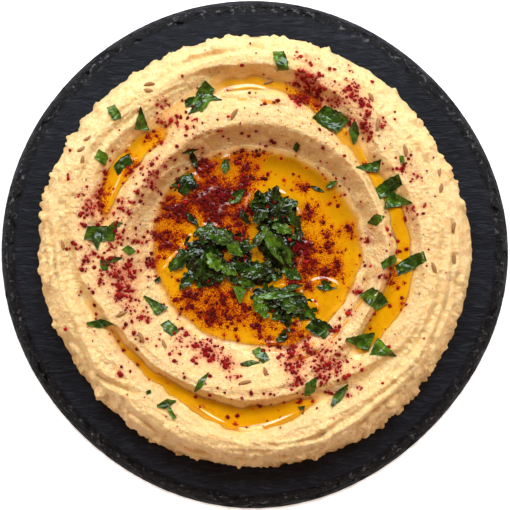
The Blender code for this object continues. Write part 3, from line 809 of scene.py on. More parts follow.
class Material(Nodes):
    def __init__(self, name):
        super().__init__(bpy.data.materials.new(name))

    def set(self, **values):
        """Values of the shader's own sockets; the material itself is given back."""
        for key, value in values.items():
            self.put(self.tree.nodes["Principled BSDF"].inputs[key.replace("_", " ")], value)
        return self.owner


# ---------------------------------------------------------------- slate plate

SLATE_SIDES = 720
SLATE_TOP_RADII = (0.0, 30.0, 60.0, 80.0, 86.0) + tuple(88.0 + 1.2 * i for i in range(12))
SLATE_BEVEL_RINGS = 15
FACETS = ((5.5, 0.26, 0.35, 51), (2.4, 0.20, 0.0, 57))  # size, tilt, how far lowered, seed
CHIP_LIMITS = (-1.2, 0.5)
CHIP_INWARD_LIMITS = (-0.2, 1.0)
BREAK_MARGIN = 2.0
BREAK_INSET = 0.2
EDGE_INSET = 0.2
CHIPPED_UNTIL = (0.62, 0.82)  # shares of the bevel's run over which the flecks end
SLATE_SHARP_ANGLE = 50
BEVEL_FALL_POWER = 1.25
LOWEST_CHIP = 0.35


def slate_material():
    n = Material("slate")
    riven_and_highlight = n.noise(1.5, 5.0, 0.62, (0.22, 1.0, 1.0), 20, 1.1)
    waves = n.noise(6.0, 3.0, 0.55, (0.35, 1.0, 1.0), 24, 1.0)
    grain = n.noise(0.5, 2.0, 0.6)
    cloudy = n.noise(30.0, 3.0, 0.6)
    flecks_and_glints = n.noise(2.4, 4.0, 0.66)
    chipped_and_shaded = n.attribute("chipped_and_shaded")
    base = n.mix(n.between(cloudy, 0.3, 0.7), (0.0028, 0.0042, 0.0078), (0.0062, 0.0084, 0.0145))
    # Paler along the raised riven lines: partly the stone's own layers, partly painted highlight on their
    # ridges.
    base = n.tinted(base, riven_and_highlight, 0.48, 0.74, 0.6, (0.030, 0.036, 0.052))
    # The chipped bevel made darker: partly the broken stone's own colour, partly painted shade on the edge
    # that slopes away from the light.
    base = n.mix(n.times(chipped_and_shaded, 0.85), base, (0.0016, 0.0019, 0.0028))
    # Pale grey flecks on the chips: partly the broken stone's own colour, partly painted highlights on the
    # raised chip facets.
    bright = n.times(chipped_and_shaded, n.between(flecks_and_glints, 0.56, 0.66))
    base = n.mix(n.times(bright, 0.7), base, (0.16, 0.17, 0.19))
    height = n.total((riven_and_highlight, 0.8), (waves, 1.1), (grain, 0.12), (n.times(flecks_and_glints, chipped_and_shaded), 2.6))
    rough = n.maths("MAXIMUM", n.between(riven_and_highlight, 0.3, 0.75, 0.58, 0.40), n.times(chipped_and_shaded, 0.7))
    return n.set(Base_Color=base, Roughness=rough, Normal=n.bump(height, 0.75), Specular_IOR_Level=0.15)


def build_slate():
    angle = np.arange(SLATE_SIDES) * FULL_TURN / SLATE_SIDES
    turn = np.radians(angle)
    outer = around(PLATE_RADIUS, angle)
    inner = outer - BEVEL_RUN
    rows, chipped_and_shaded = [], []

    def add(radius, z, mark):
        rows.append(np.stack([radius * np.cos(turn), radius * np.sin(turn), z + 0 * turn], axis=-1))
        chipped_and_shaded.append(np.full(SLATE_SIDES, mark))

    for radius in SLATE_TOP_RADII:
        add(np.minimum(radius, inner - BREAK_MARGIN - BREAK_INSET), PLATE_THICKNESS, 0.0)
    run = BEVEL_RUN + BREAK_MARGIN
    for i in range(SLATE_BEVEL_RINGS + 1):
        share = i / SLATE_BEVEL_RINGS
        radius = inner - BREAK_MARGIN + run * share
        fall = max(share - BREAK_MARGIN / run, 0.0) / (1.0 - BREAK_MARGIN / run)
        z = PLATE_THICKNESS + (BEVEL_FOOT_HEIGHT - PLATE_THICKNESS) * fall**BEVEL_FALL_POWER
        # The chipped band's mark, which also lays the bevel's painted shade and painted highlight flecks.
        add(radius, z, min(share * 2.5, 1.0) * (1.0 - float(step(*CHIPPED_UNTIL, share))))
    add(outer - EDGE_INSET, BEVEL_FOOT_HEIGHT * 0.5, 0.0)
    add(outer - UNDERCUT, 0.0, 0.0)
    places = np.array(rows)
    first = len(SLATE_TOP_RADII)
    bevel = places[first:-1]
    # Each flake that came off left a facet with a tilt of its own.
    for size, tilt, lowered, seed in FACETS:
        away, lean = cells(bevel / size, seed, 3)
        offset = np.sum(away * (np.stack(lean, axis=-1) * 2 - 1), axis=-1) * size
        share = np.linspace(0, 1, len(bevel))[:, None]
        hold = step(0.0, 0.2, share)
        bevel[..., 2] += np.clip(offset * tilt * hold, *CHIP_LIMITS) - lowered * hold
        inward = np.clip(offset * tilt * 0.7, *CHIP_INWARD_LIMITS) * hold * step(1.0, 0.75, share)
        bevel[..., 0] -= inward * np.cos(turn)
        bevel[..., 1] -= inward * np.sin(turn)
    bevel[..., 2] = np.clip(bevel[..., 2], LOWEST_CHIP, PLATE_THICKNESS)
    faces = [tuple(f) for f in grid_faces(len(rows), SLATE_SIDES)]
    faces += [tuple((len(rows) - 1) * SLATE_SIDES + i for i in range(SLATE_SIDES))]
    made = mesh_object("slate_stone", places.reshape(-1, 3) * MM, faces, slate_material())
    attribute(made, "chipped_and_shaded", np.array(chipped_and_shaded))
    made.data.set_sharp_from_angle(angle=math.radians(SLATE_SHARP_ANGLE))
    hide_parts("slate_plate")


# ---------------------------------------------------------------- hummus

HUMMUS_SIDES = 940
POOL_RINGS = (0.0, 0.35, 0.6, 0.75, 0.85, 0.9, 0.95)
WELL_RINGS = 18
BAND_RINGS = 46
WALL_RINGS = 28
WALL_SPACING_POWER = 1.35
PUSH_RISE = (80.0, 10.0)  # at the band's edge, at the foot
FOOT_SUNK = 0.2
HUMMUS_STAIN = (0.26, 0.008)
MOST_STAIN = 0.75


def hummus_material():
    n = Material("hummus")
    cloudy = n.noise(14.0, 3.0, 0.55)
    mottle = n.noise(1.9, 3.0, 0.6)
    grain = n.noise(1.2, 4.0, 0.72)
    fine_grain_and_highlight = n.noise(0.6, 3.0, 0.7)
    speck_size = n.noise(1.7, 1.0, 0.5)
    curds_and_crevice_shade, crumbs, specks = (n.voronoi(size) for size in (1.7, 0.95, 2.1))
    wet_and_shaded = n.attribute("wet_and_shaded")
    base = n.mix(n.between(cloudy, 0.3, 0.7), (0.965, 0.725, 0.345), (0.98, 0.77, 0.40))
    base = n.tinted(base, mottle, 0.45, 0.72, 0.5, (0.97, 0.665, 0.23))
    # Darker and more orange low in the grain and in the gaps between curds: partly the hummus's own tone,
    # partly painted shade in the bump's hollows.
    base = n.tinted(base, grain, 0.50, 0.34, 0.5, (0.93, 0.49, 0.155))
    base = n.tinted(base, curds_and_crevice_shade, 0.42, 0.72, 0.5, (0.94, 0.57, 0.19))
    # Paler cream on the raised fine grain: partly the hummus's own tone, partly painted highlight on the
    # tops.
    base = n.tinted(base, fine_grain_and_highlight, 0.52, 0.66, 0.5, (0.97, 0.85, 0.56))
    spotted = n.times(n.between(specks, 0.16, 0.05), n.between(speck_size, 0.52, 0.62))
    base = n.mix(n.times(spotted, 0.6), base, (0.55, 0.25, 0.07))
    # Where oil wets it the hummus turns orange: partly its own oil-soaked colour, partly painted warm shade
    # and light thrown back from the oil.
    base = n.mix(n.times(wet_and_shaded, 0.5), base, (0.90, 0.53, 0.13))
    base = n.mix(n.attribute("stain"), base, (0.62, 0.085, 0.055))
    height = n.total((grain, 1.2), (fine_grain_and_highlight, 0.6), (mottle, 0.7), (curds_and_crevice_shade, -0.9), (crumbs, -0.45))
    height = n.times(height, n.between(wet_and_shaded, 0.2, 0.9, 1.0, 0.12))
    rough = n.between(wet_and_shaded, 0.2, 0.9, 0.42, 0.10)
    n.set(Base_Color=base, Roughness=rough, Normal=n.bump(height, 0.48), Specular_IOR_Level=0.5)
    return n.set(Subsurface_Weight=0.34, Subsurface_Radius=(1.0, 0.42, 0.18), Subsurface_Scale=0.0018)


def build_hummus():
    angle = np.arange(HUMMUS_SIDES) * FULL_TURN / HUMMUS_SIDES
    lines = [np.zeros_like(angle)]
    lines += [around(line, angle) for line in (POOL_EDGE, INNER_CREST, OUTER_CREST, FOOT)]
    shares = (POOL_RINGS, np.arange(WELL_RINGS) / WELL_RINGS, np.arange(BAND_RINGS) / BAND_RINGS)
    radii = []
    for start, end, parts in zip(lines, lines[1:], shares):
        radii += [start + (end - start) * share for share in parts]
    wall = 1.0 - (1.0 - np.arange(WALL_RINGS) / (WALL_RINGS - 1)) ** WALL_SPACING_POWER
    radii += [lines[3] + (lines[4] - lines[3]) * share for share in wall]
    radii = np.array(radii)
    angles = np.broadcast_to(angle, radii.shape)
    heights = hummus_height(radii, angles)
    x, y = flat_xy(radii, angles)
    places = np.stack([x, y, heights], axis=-1)
    # The outer side is torn and curdled outwards as well as upwards.
    t = np.clip((radii - lines[3]) / (lines[4] - lines[3]), 0.0, 1.0)
    lift = np.radians(PUSH_RISE[0] + (PUSH_RISE[1] - PUSH_RISE[0]) * t)
    turn = np.radians(angles)
    out = np.stack([np.cos(lift) * np.cos(turn), np.cos(lift) * np.sin(turn), np.sin(lift)], axis=-1)
    torn = fractal(places / 6.0, 73, 2)
    ragged = step(-0.45, 0.45, noise(places / 8.0, 77))
    push = 1.7 * knobs(places / 3.9, 61) + 0.9 * knobs(places / 2.1, 67)
    push = step(0.15, 0.7, t) * ((0.25 + 0.85 * ragged) * push + torn - 0.45)
    places = places + out * push[..., None]
    places[..., 2] = np.maximum(places[..., 2], 0.0)
    places[-1, :, 2] = -FOOT_SUNK
    places[..., 2] += PLATE_THICKNESS
    faces = grid_faces(len(radii), HUMMUS_SIDES)
    made = mesh_object("hummus_swirl", places.reshape(-1, 3) * MM, faces, hummus_material())
    oil = oil_thickness(radii, angles, heights)
    covered = step(0.02, 0.22, np.where(t > 0, 0.0, oil))
    attribute(made, "wet_and_shaded", np.maximum(covered, film(radii, angles, heights)))
    attribute(made, "stain", np.clip(spice_colour(x, y, HUMMUS_STAIN), 0.0, MOST_STAIN))
    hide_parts("hummus")


# ---------------------------------------------------------------- parsley

PARSLEY_THICKNESS = 0.32
LEAF_MESH = (18, 8)
BIT_MESH = (7, 4)
HEAP_BITS = 210
MOUND_CHANCES = np.array([m[2] * m[3] for m in MOUNDS]) / sum(m[2] * m[3] for m in MOUNDS)
HEAP_LUMPS = 3.0
CORE_HALF = 42.0
CORE_STEP = 0.5
MENISCUS_HEIGHT = 0.5
MENISCUS_REACH = 1.1
LEAF_REST = 0.3
LEAF_CLEARANCE = 0.12
LEAF_DRAPE = (0.8, 0.2)  # how far a lying leaf follows what is under it, and keeps to its mean
LEAF_CURLS = ((0.03, 0.05), (-0.03, -0.04))
TOOTH_LENGTH = 2.6
MOUND_EDGE_POWER = 2.4
CORE_SUNK = 0.5
CORE_EDGE = -0.6
LEAF_GREENS = ((0.0, (0.004, 0.010, 0.001)), (0.45, (0.024, 0.070, 0.003)), (1.0, (0.105, 0.225, 0.010)))


def parsley_material():
    n = Material("parsley")
    across = n.maths("ABSOLUTE", n.attribute("across"))
    crinkle = n.noise(1.25, 3.0, 0.6)
    blotch = n.noise(3.5, 2.0, 0.5)
    pucker = n.noise(2.1, 1.0, 0.4)
    # A leaf's green, lighter or darker: partly its freshness, partly painted light and shade on its blade.
    tone = n.maths("ADD", n.attribute("fresh"), n.between(blotch, 0.3, 0.7, -0.38, 0.28))
    leaf = n.ramp(tone, LEAF_GREENS)
    slanted = n.total((n.attribute("along"), 5.0), (across, -2.2))
    veins = n.between(n.maths("PINGPONG", slanted, 0.5), 0.0, 0.11, 1.0, 0.0)
    veins = n.maths("MAXIMUM", n.times(veins, 0.5), n.between(across, 0.0, 0.10, 1.0, 0.0))
    leaf = n.mix(n.times(veins, 0.30), leaf, (0.13, 0.22, 0.008))
    height = n.total((crinkle, 1.0), (veins, -0.3))
    n.set(Base_Color=leaf, Roughness=0.6, Normal=n.bump(height, 1.0), Specular_IOR_Level=0.06)
    return n.set(Coat_Weight=0.45, Coat_Roughness=0.05, Coat_IOR=1.7, Coat_Normal=n.bump(pucker, 0.85))


def leaf_shape(length, width, shape, mesh, curl, seed):
    """Points of one leaf's upper side in its own frame, and where each lies along and across it."""
    start, widest, end, teeth, skew = LEAF_SHAPES[shape]
    t = np.linspace(0.0, 1.0, mesh[0] + 1)[:, None]
    s = np.linspace(-1.0, 1.0, mesh[1] + 1)[None, :]
    peak = np.clip(widest + 0.4 * skew * s, 0.02, 0.98)
    half = 0.5 * width * np.minimum(start + (1 - start) * t / peak, end + (1 - end) * (1 - t) / (1 - peak))
    number = max(length / TOOTH_LENGTH, 2.0)
    saw = (t * number + 0.37 * (s > 0)) % 1.0
    half = half * (1.0 - teeth * saw * np.abs(s) ** 3)
    v = s * half
    u = length * (t - 0.5) + skew * v + 0 * s
    a, b = curl
    wave = noise(np.stack([u / 3.2, v / 3.2, np.full_like(u, 5.3 * seed)], axis=-1), 83)
    small = noise(np.stack([u / 1.3, v / 1.3, np.full_like(u, 9.1 * seed)], axis=-1), 89)
    z = (1 - np.cos(a * u)) / a + (1 - np.cos(b * v)) / b
    z = z + wave * (0.25 + 0.55 * np.abs(s)) + 0.22 * small + 0.35 * np.abs(s) ** 0.7
    top = np.stack([np.sin(a * u) / a, np.sin(b * v) / b, z], axis=-1)
    return top, np.broadcast_to(t, u.shape), np.broadcast_to(s, u.shape)


def leaf_faces(mesh):
    """Faces of a thin closed leaf: its top, its underside and the rim between them."""
    rows, columns = mesh[0] + 1, mesh[1] + 1
    top = grid_faces(rows, columns, False)
    count = rows * columns
    rim = list(range(columns)) + [r * columns + columns - 1 for r in range(1, rows)]
    rim += [(rows - 1) * columns + i for i in range(columns - 2, -1, -1)]
    rim += [r * columns for r in range(rows - 2, 0, -1)]
    rim = np.array(rim)
    after = np.roll(rim, -1)
    edge = np.stack([rim, after, after + count, rim + count], axis=-1)[:, ::-1]
    return np.concatenate([top[:, ::-1], top + count, edge])


def tipped(points, turn, pitch, roll):
    """Points tipped about their width, then about their length, then turned about the vertical."""
    p, r, w = (math.radians(a) for a in (pitch, roll, turn))
    tip = np.array([[math.cos(p), 0, -math.sin(p)], [0, 1, 0], [math.sin(p), 0, math.cos(p)]])
    lean = np.array([[1, 0, 0], [0, math.cos(r), -math.sin(r)], [0, math.sin(r), math.cos(r)]])
    spin = np.array([[math.cos(w), -math.sin(w), 0], [math.sin(w), math.cos(w), 0], [0, 0, 1]])
    return points @ (spin @ tip @ lean).T


class Heap:
    """Many small closed shapes gathered into one mesh, each with values of its own."""

    def __init__(self):
        self.vertices, self.faces, self.values, self.count = [], [], {}, 0

    def add(self, vertices, faces, **values):
        self.vertices.append(vertices)
        self.faces.append([[i + self.count for i in face] for face in faces])
        for name, value in values.items():
            self.values.setdefault(name, []).append(np.broadcast_to(np.ravel(value), (len(vertices),)))
        self.count += len(vertices)

    def build(self, name, material):
        faces = [tuple(face) for block in self.faces for face in block]
        made = mesh_object(name, np.concatenate(self.vertices) * MM, faces, material)
        for key, values in self.values.items():
            attribute(made, key, np.concatenate(values))
        return made


def add_leaf(heap, mesh, length, width, shape, curl, turn, tip, place, fresh, seed, lying):
    """One leaf, either lying on what is below it or held at its own height."""
    top, along, across = leaf_shape(length, width, shape, mesh, curl, seed)
    top = tipped(top.reshape(-1, 3), turn, *tip)
    top = top + np.array([place[0], place[1], 0.0])
    if lying:
        ground, oil = top_at(top[:, 0], top[:, 1])
        ground = ground + np.where(oil > 0, menisci(top[:, 0], top[:, 1]), 0.0)
        level = LEAF_DRAPE[0] * ground + LEAF_DRAPE[1] * ground.mean()
        top[:, 2] = np.maximum(top[:, 2] + level + place[2], ground + LEAF_CLEARANCE)
    else:
        top[:, 2] += place[2]
    under = top.copy()
    under[:, 2] -= PARSLEY_THICKNESS
    points = np.concatenate([top, under])
    points[:, 2] += PLATE_THICKNESS
    along, across = np.tile(along.ravel(), 2), np.tile(across.ravel(), 2)
    heap.add(points, leaf_faces(mesh), along=along, across=across, fresh=fresh)


def mound_reach(x, y, mound):
    """0 at the middle of a mound of parsley, 1 at its edge."""
    mx, my, long, wide, turn, _ = mound
    w = math.radians(turn)
    dx, dy = x - SWIRL_CENTRE[0] - mx, y - SWIRL_CENTRE[1] - my
    along, aside = dx * math.cos(w) + dy * math.sin(w), dy * math.cos(w) - dx * math.sin(w)
    return np.hypot(along / long, aside / wide)


def mound_height(x, y):
    """The heap of parsley's height above the oil, below 0 where there is none."""
    heights = []
    for mound in MOUNDS:
        reach = np.minimum(mound_reach(x, y, mound), 1.3)
        heights.append(mound[-1] * (1.0 - reach**MOUND_EDGE_POWER))
    return np.maximum(np.max(heights, axis=0), -1.0)


def swells(x, y):
    """How far the oil rises in its low swells."""
    radius, angle = polar(x, y)
    total = np.zeros(np.shape(x))
    for line, height, width in SWELLS:
        span = line[-1][0] - line[0][0]
        past = (angle - line[0][0]) % FULL_TURN
        fade = np.sin(np.pi * np.clip(past / span, 0.0, 1.0)) ** 0.6 * (past < span)
        across = radius - around(line, line[0][0] + np.clip(past, 0, span))
        total = np.maximum(total, height * fade * hill(across, width))
    return total


def menisci(x, y):
    """How far the oil climbs where it meets the parsley."""
    total = np.zeros(np.shape(x))
    for mound in MOUNDS + LEAF_MENISCI:
        size = 0.5 * (mound[2] + mound[3])
        away = np.maximum(mound_reach(x, y, mound) - 1.0, 0.0) * size
        total = np.maximum(total, MENISCUS_HEIGHT * hill(away, MENISCUS_REACH))
    return total * np.clip(0.55 + 1.3 * noise(on_plane(x, y) / 3.0, 93), 0.0, 1.3)


def build_parsley():
    material = parsley_material()
    scattered = Heap()
    for seed, (angle, radius, length, width, turn, shape, fresh) in enumerate(LEAVES):
        x, y = flat_xy(radius, angle)
        curl = LEAF_CURLS[seed % 3 == 0]
        place = (x, y, LEAF_REST)
        add_leaf(scattered, LEAF_MESH, length, width, shape, curl, turn, (0, 0), place, fresh, seed, True)
    made = scattered.build("parsley_scattered", material)
    heap = Heap()
    for seed, (x, y, height, length, width, turn, shape, tip, curl, fresh) in enumerate(HEAP_LEAVES, 100):
        place = (x + SWIRL_CENTRE[0], y + SWIRL_CENTRE[1], POOL_LEVEL + height)
        add_leaf(heap, LEAF_MESH, length, width, shape, curl, turn, tip, place, fresh, seed, False)
    bits = np.random.default_rng(5)
    for seed in range(200, 200 + HEAP_BITS):
        mound = MOUNDS[bits.choice(len(MOUNDS), p=MOUND_CHANCES)]
        reach, way = 0.97 * math.sqrt(bits.random()), bits.uniform(0, 2 * math.pi)
        dx, dy = mound[2] * reach * math.cos(way), mound[3] * reach * math.sin(way)
        w = math.radians(mound[4])
        x = SWIRL_CENTRE[0] + mound[0] + dx * math.cos(w) - dy * math.sin(w)
        y = SWIRL_CENTRE[1] + mound[1] + dx * math.sin(w) + dy * math.cos(w)
        place = (x, y, POOL_LEVEL + (float(mound_height(x, y)) + bits.uniform(-0.2, 0.6)))
        length, tip = bits.uniform(2.2, 5.0), (bits.uniform(-35, 35), bits.uniform(-40, 40))
        curl = (bits.choice((-0.25, 0.2)), bits.choice((-0.4, 0.3)))
        width = length * bits.uniform(0.5, 0.9)
        shape = str(bits.choice(("sprig", "block", "blade")))
        turn, fresh = bits.uniform(0, 360), bits.uniform(0.0, 0.6)
        add_leaf(heap, BIT_MESH, length, width, shape, curl, turn, tip, place, fresh, seed, False)
    leaves = heap.build("parsley_leaves", material)
    core = build_heap_core(material)
    for piece in (leaves, core):
        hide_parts("parsley_heap")


def build_heap_core(material):
    """The wet, packed inside of the heap, under its leaves."""
    reach = np.arange(-CORE_HALF, CORE_HALF + 0.01, CORE_STEP)
    x, y = np.meshgrid(reach + SWIRL_CENTRE[0], reach + SWIRL_CENTRE[1])
    places = on_plane(x, y)
    away, (own,) = cells(places / HEAP_LUMPS, 97)
    lumps = 1.3 * (0.5 - np.linalg.norm(away, axis=-1)) * (0.4 + own) + 0.5 * fractal(places / 2.0, 98, 2)
    height = mound_height(x, y)
    lumps = lumps * step(-0.8, 0.6, height)
    top = height - CORE_SUNK + lumps
    points = np.stack([x, y, PLATE_THICKNESS + POOL_LEVEL + top], axis=-1).reshape(-1, 3)
    faces = grid_faces(*x.shape, False)
    used, faces = in_use(faces[(height.reshape(-1)[faces] > CORE_EDGE).any(axis=1)], len(points))
    made = mesh_object("parsley_core", points[used] * MM, faces, material)
    # The core takes the darkest green: partly the packed leaves' own colour, partly painted shade under the
    # leaves above.
    for name in ("fresh", "along", "across"):
        attribute(made, name, np.full(len(used), 0.0 if name == "fresh" else 0.25))
    return made


# ---------------------------------------------------------------- paprika

# Pinches: which, the flakes' tone and radius, grains of powder a flake, how many times as many and as wide
# as in the lists, and how many flakes make a cluster.
PINCHES = (
    (OIL_PINCHES, 0.16, 0.42, 4.2, 1.1, 1.25, 5),
    (HUMMUS_PINCHES, 0.48, 0.44, 3.2, 1.35, 1.12, 2),
)
SINGLE_FLAKE_RADIUS = 0.44
FLAKE_SPREAD = 0.38
FLAKE_LIMITS = (0.20, 0.98)
CRUMB_RADIUS = 0.40
POWDER_RADIUS = (0.08, 0.22)
CLUSTER_REACH = 0.95
FLAKE_FLATNESS = 0.7
AFLOAT = (-0.55, 0.10)  # how high flakes float, in their own radii
HEAP_COVER = 0.3
SINGLE_FLAKES = 620
SINGLE_POWDER = 2600
SPRINKLED_RADIUS = 89.0
ROUND_FLAKES = 95
ROUND_REACH = 72.0
ROUND_SIZES = (0.60, 0.95)
SPICE_STEP = 0.25
SPICE_HALF = 95.0


def ball(subdivisions):
    """Vertices and faces of a small round solid of radius 1, the plainest with eight faces."""
    if subdivisions == 0:
        points = np.array([(1, 0, 0), (-1, 0, 0), (0, 1, 0), (0, -1, 0), (0, 0, 1), (0, 0, -1)], float)
        corners = itertools.product((0, 1), (2, 3), (4, 5))
        faces = [c if (c[0] + c[1] + c[2]) % 2 == 0 else (c[1], c[0], c[2]) for c in corners]
        return points, np.array(faces)
    shape = bmesh.new()
    bmesh.ops.create_icosphere(shape, subdivisions=subdivisions, radius=1.0)
    points = np.array([v.co[:] for v in shape.verts])
    faces = np.array([[v.index for v in f.verts] for f in shape.faces])
    shape.free()
    return points, faces


def paprika_material():
    n = Material("paprika")
    grain = n.noise(0.5, 2.0, 0.6)
    reds = ((0.0, (0.060, 0.0010, 0.0010)), (0.5, (0.26, 0.0022, 0.0045)), (1.0, (0.66, 0.020, 0.012)))
    red = n.tinted(n.ramp(n.attribute("tone"), reds), grain, 0.4, 0.7, 0.5, (0.045, 0.0012, 0.001))
    return n.set(Base_Color=red, Roughness=0.5, Normal=n.bump(grain, 0.2, 0.8), Specular_IOR_Level=0.12)


def paprika_spots():
    """Where each flake, and each grain of powder, lies: x, y, radius and tone."""
    chance = np.random.default_rng(9)
    flakes, powder = [], []

    def flake_sizes(count, middle=SINGLE_FLAKE_RADIUS):
        return np.clip(chance.lognormal(math.log(middle), FLAKE_SPREAD, count), *FLAKE_LIMITS)

    def powder_sizes(count):
        low, high = POWDER_RADIUS
        return low + (high - low) * chance.random(count) ** 1.5

    for pinches, tone, size, powdered, scale, width, cluster in PINCHES:
        for angle, radius, spread, number in pinches:
            number, spread = round(number * scale), spread * width
            middle = np.array(flat_xy(radius, angle))
            groups = middle + chance.normal(0.0, spread * 0.68, (max(number // cluster, 1), 2))
            reach = min(CLUSTER_REACH, spread)
            where = groups[chance.integers(len(groups), size=number)] + chance.normal(0.0, reach, (number, 2))
            tones = chance.uniform(-0.25, 0.25, number) + tone
            flakes.append(np.column_stack([where, flake_sizes(number, size), tones]))
            count = round(number * powdered)
            near = groups[chance.integers(len(groups), size=count)]
            near = near + chance.normal(0.0, 1.6 * reach, (count, 2))
            wide = middle + chance.normal(0.0, spread * 0.95 + 0.5, (count, 2))
            where = np.where(chance.random((count, 1)) < 0.5, near, wide)
            sizes = powder_sizes(count)
            tones = chance.uniform(-0.2, 0.3, count) + tone + 0.22
            powder.append(np.column_stack([where, sizes, tones]))
    for kept, sizes, total in ((flakes, flake_sizes, SINGLE_FLAKES), (powder, powder_sizes, SINGLE_POWDER)):
        radius = SPRINKLED_RADIUS * np.sqrt(chance.random(4 * total))
        angle = chance.uniform(0, FULL_TURN, 4 * total)
        liking = np.select([radius > 80, radius > 72, radius < 40], [0.06, 0.25, 0.62], 0.75)
        chosen = np.flatnonzero(chance.random(4 * total) < liking)[:total]
        x, y = flat_xy(radius[chosen], angle[chosen])
        kept.append(np.column_stack([x, y, sizes(len(chosen)), chance.uniform(0.2, 0.8, len(chosen))]))
    radius = ROUND_REACH * np.sqrt(chance.random(ROUND_FLAKES))
    x, y = flat_xy(radius, chance.uniform(0, FULL_TURN, ROUND_FLAKES))
    sizes = chance.uniform(*ROUND_SIZES, ROUND_FLAKES)
    flakes.append(np.column_stack([x, y, sizes, chance.uniform(0.1, 0.35, ROUND_FLAKES)]))
    spots = []
    for lot in (np.concatenate(flakes), np.concatenate(powder)):
        spots.append(lot[polar(lot[:, 0], lot[:, 1])[0] < SPRINKLED_RADIUS])
    return spots


def spice_map(spots, halo, reach):
    """How thickly paprika and its colour lie over the serving, on a square grid of points."""
    count = round(2 * SPICE_HALF / SPICE_STEP) + 1
    total = np.zeros((count, count))
    for x, y, size, _ in spots:
        wide = size * halo + reach
        span = int(2.6 * wide / SPICE_STEP) + 1
        i, j = round((x + SPICE_HALF) / SPICE_STEP), round((y + SPICE_HALF) / SPICE_STEP)
        if not (span < i < count - span and span < j < count - span):
            continue
        dx = (np.arange(i - span, i + span + 1) * SPICE_STEP - SPICE_HALF - x)[:, None]
        dy = (np.arange(j - span, j + span + 1) * SPICE_STEP - SPICE_HALF - y)[None, :]
        strength = min(size / 0.4, 1.3)
        window = slice(i - span, i + span + 1), slice(j - span, j + span + 1)
        total[window] += strength * np.exp(-(dx**2 + dy**2) / wide**2)
    return total


def sampled(spread, x, y):
    """The value of a map made by spice_map at each place."""
    u = np.clip((np.asarray(x) + SPICE_HALF) / SPICE_STEP, 0, len(spread) - 1.001)
    v = np.clip((np.asarray(y) + SPICE_HALF) / SPICE_STEP, 0, len(spread) - 1.001)
    i, j = u.astype(int), v.astype(int)
    f, g = u - i, v - j
    low = spread[i, j] * (1 - f) + spread[i + 1, j] * f
    high = spread[i, j + 1] * (1 - f) + spread[i + 1, j + 1] * f
    return low * (1 - g) + high * g


def spice_colour(x, y, strength):
    """How much colour the paprika gives off at each place, at the flakes and round about them."""
    return strength[0] * sampled(SPICE_NEAR, x, y) + strength[1] * sampled(SPICE_WIDE, x, y)


def spice_lift(x, y):
    """How far the oil swells up, unevenly, where it is full of paprika."""
    near = sampled(SPICE_NEAR, x, y)
    lumps = fractal(on_plane(x, y) / 1.6, 43, 2)
    return SPICE_LUMPS[0] * np.minimum(near, 6.0) + SPICE_LUMPS[1] * step(1.0, 6.0, near) * (lumps + 0.2)


def scatter_balls(name, spots, subdivisions, material, seed):
    """One rough round solid at each spot, sunk a little in what it lies on."""
    chance = np.random.default_rng(seed)
    x, y, size, tone = spots.T
    height, oil = top_at(x, y)
    mound = POOL_LEVEL + mound_height(x, y) + HEAP_COVER
    reach = np.min([mound_reach(x, y, mound) for mound in MOUNDS], axis=0)
    height = np.maximum(height, np.where(reach < 1.0, mound, 0.0))
    points, faces = ball(subdivisions)
    bumpy = 1.0 + chance.uniform(-0.25, 0.25, (len(spots), len(points), 1))
    squash = chance.uniform(0.8, 1.25, (len(spots), 1, 2))
    squash = np.concatenate([squash, np.full((len(spots), 1, 1), FLAKE_FLATNESS)], axis=2)
    shaped = points[None] * bumpy * squash * size[:, None, None]
    height = height + np.where(oil > OIL_FELT, spice_lift(x, y), 0.0)
    lift = size * np.where(oil > OIL_FELT, chance.uniform(*AFLOAT, len(spots)), 0.2)
    shaped = shaped + np.stack([x, y, height + lift + PLATE_THICKNESS], axis=-1)[:, None, :]
    numbered = faces[None] + (np.arange(len(spots)) * len(points))[:, None, None]
    made = mesh_object(name, shaped.reshape(-1, 3) * MM, numbered.reshape(-1, 3), material)
    attribute(made, "tone", np.repeat(tone, len(points)))


def build_paprika():
    material = paprika_material()
    large = FLAKES[:, 2] > CRUMB_RADIUS
    scatter_balls("paprika_flakes", FLAKES[large], 2, material, 10)
    scatter_balls("paprika_crumbs", FLAKES[~large], 1, material, 11)
    scatter_balls("paprika_powder", POWDER, 0, material, 13)


# ---------------------------------------------------------------- cumin seeds

SEED_LENGTH = 5.4
SEED_RADIUS = 0.78
SEED_RIBS = 9
SEED_RISE = 0.15
SEED_FLATNESS = 0.85
SEED_POWERS = (2.1, 0.75)
SEED_STUB = 0.05
SEED_RIB_DEPTH = 0.10
SEED_LENGTHS = (0.85, 1.10)
SEED_BEND = 0.5
SEED_PITCH = 6
SEED_MESH = (15, 27)


def cumin_material():
    n = Material("cumin")
    grain = n.noise(0.8, 2.0, 0.6)
    brown = n.mix(n.attribute("rib"), (0.20, 0.075, 0.018), (0.50, 0.26, 0.085))
    brown = n.tinted(brown, grain, 0.35, 0.7, 0.4, (0.30, 0.10, 0.02))
    return n.set(Base_Color=brown, Roughness=0.42, Normal=n.bump(grain, 0.1, 0.6))


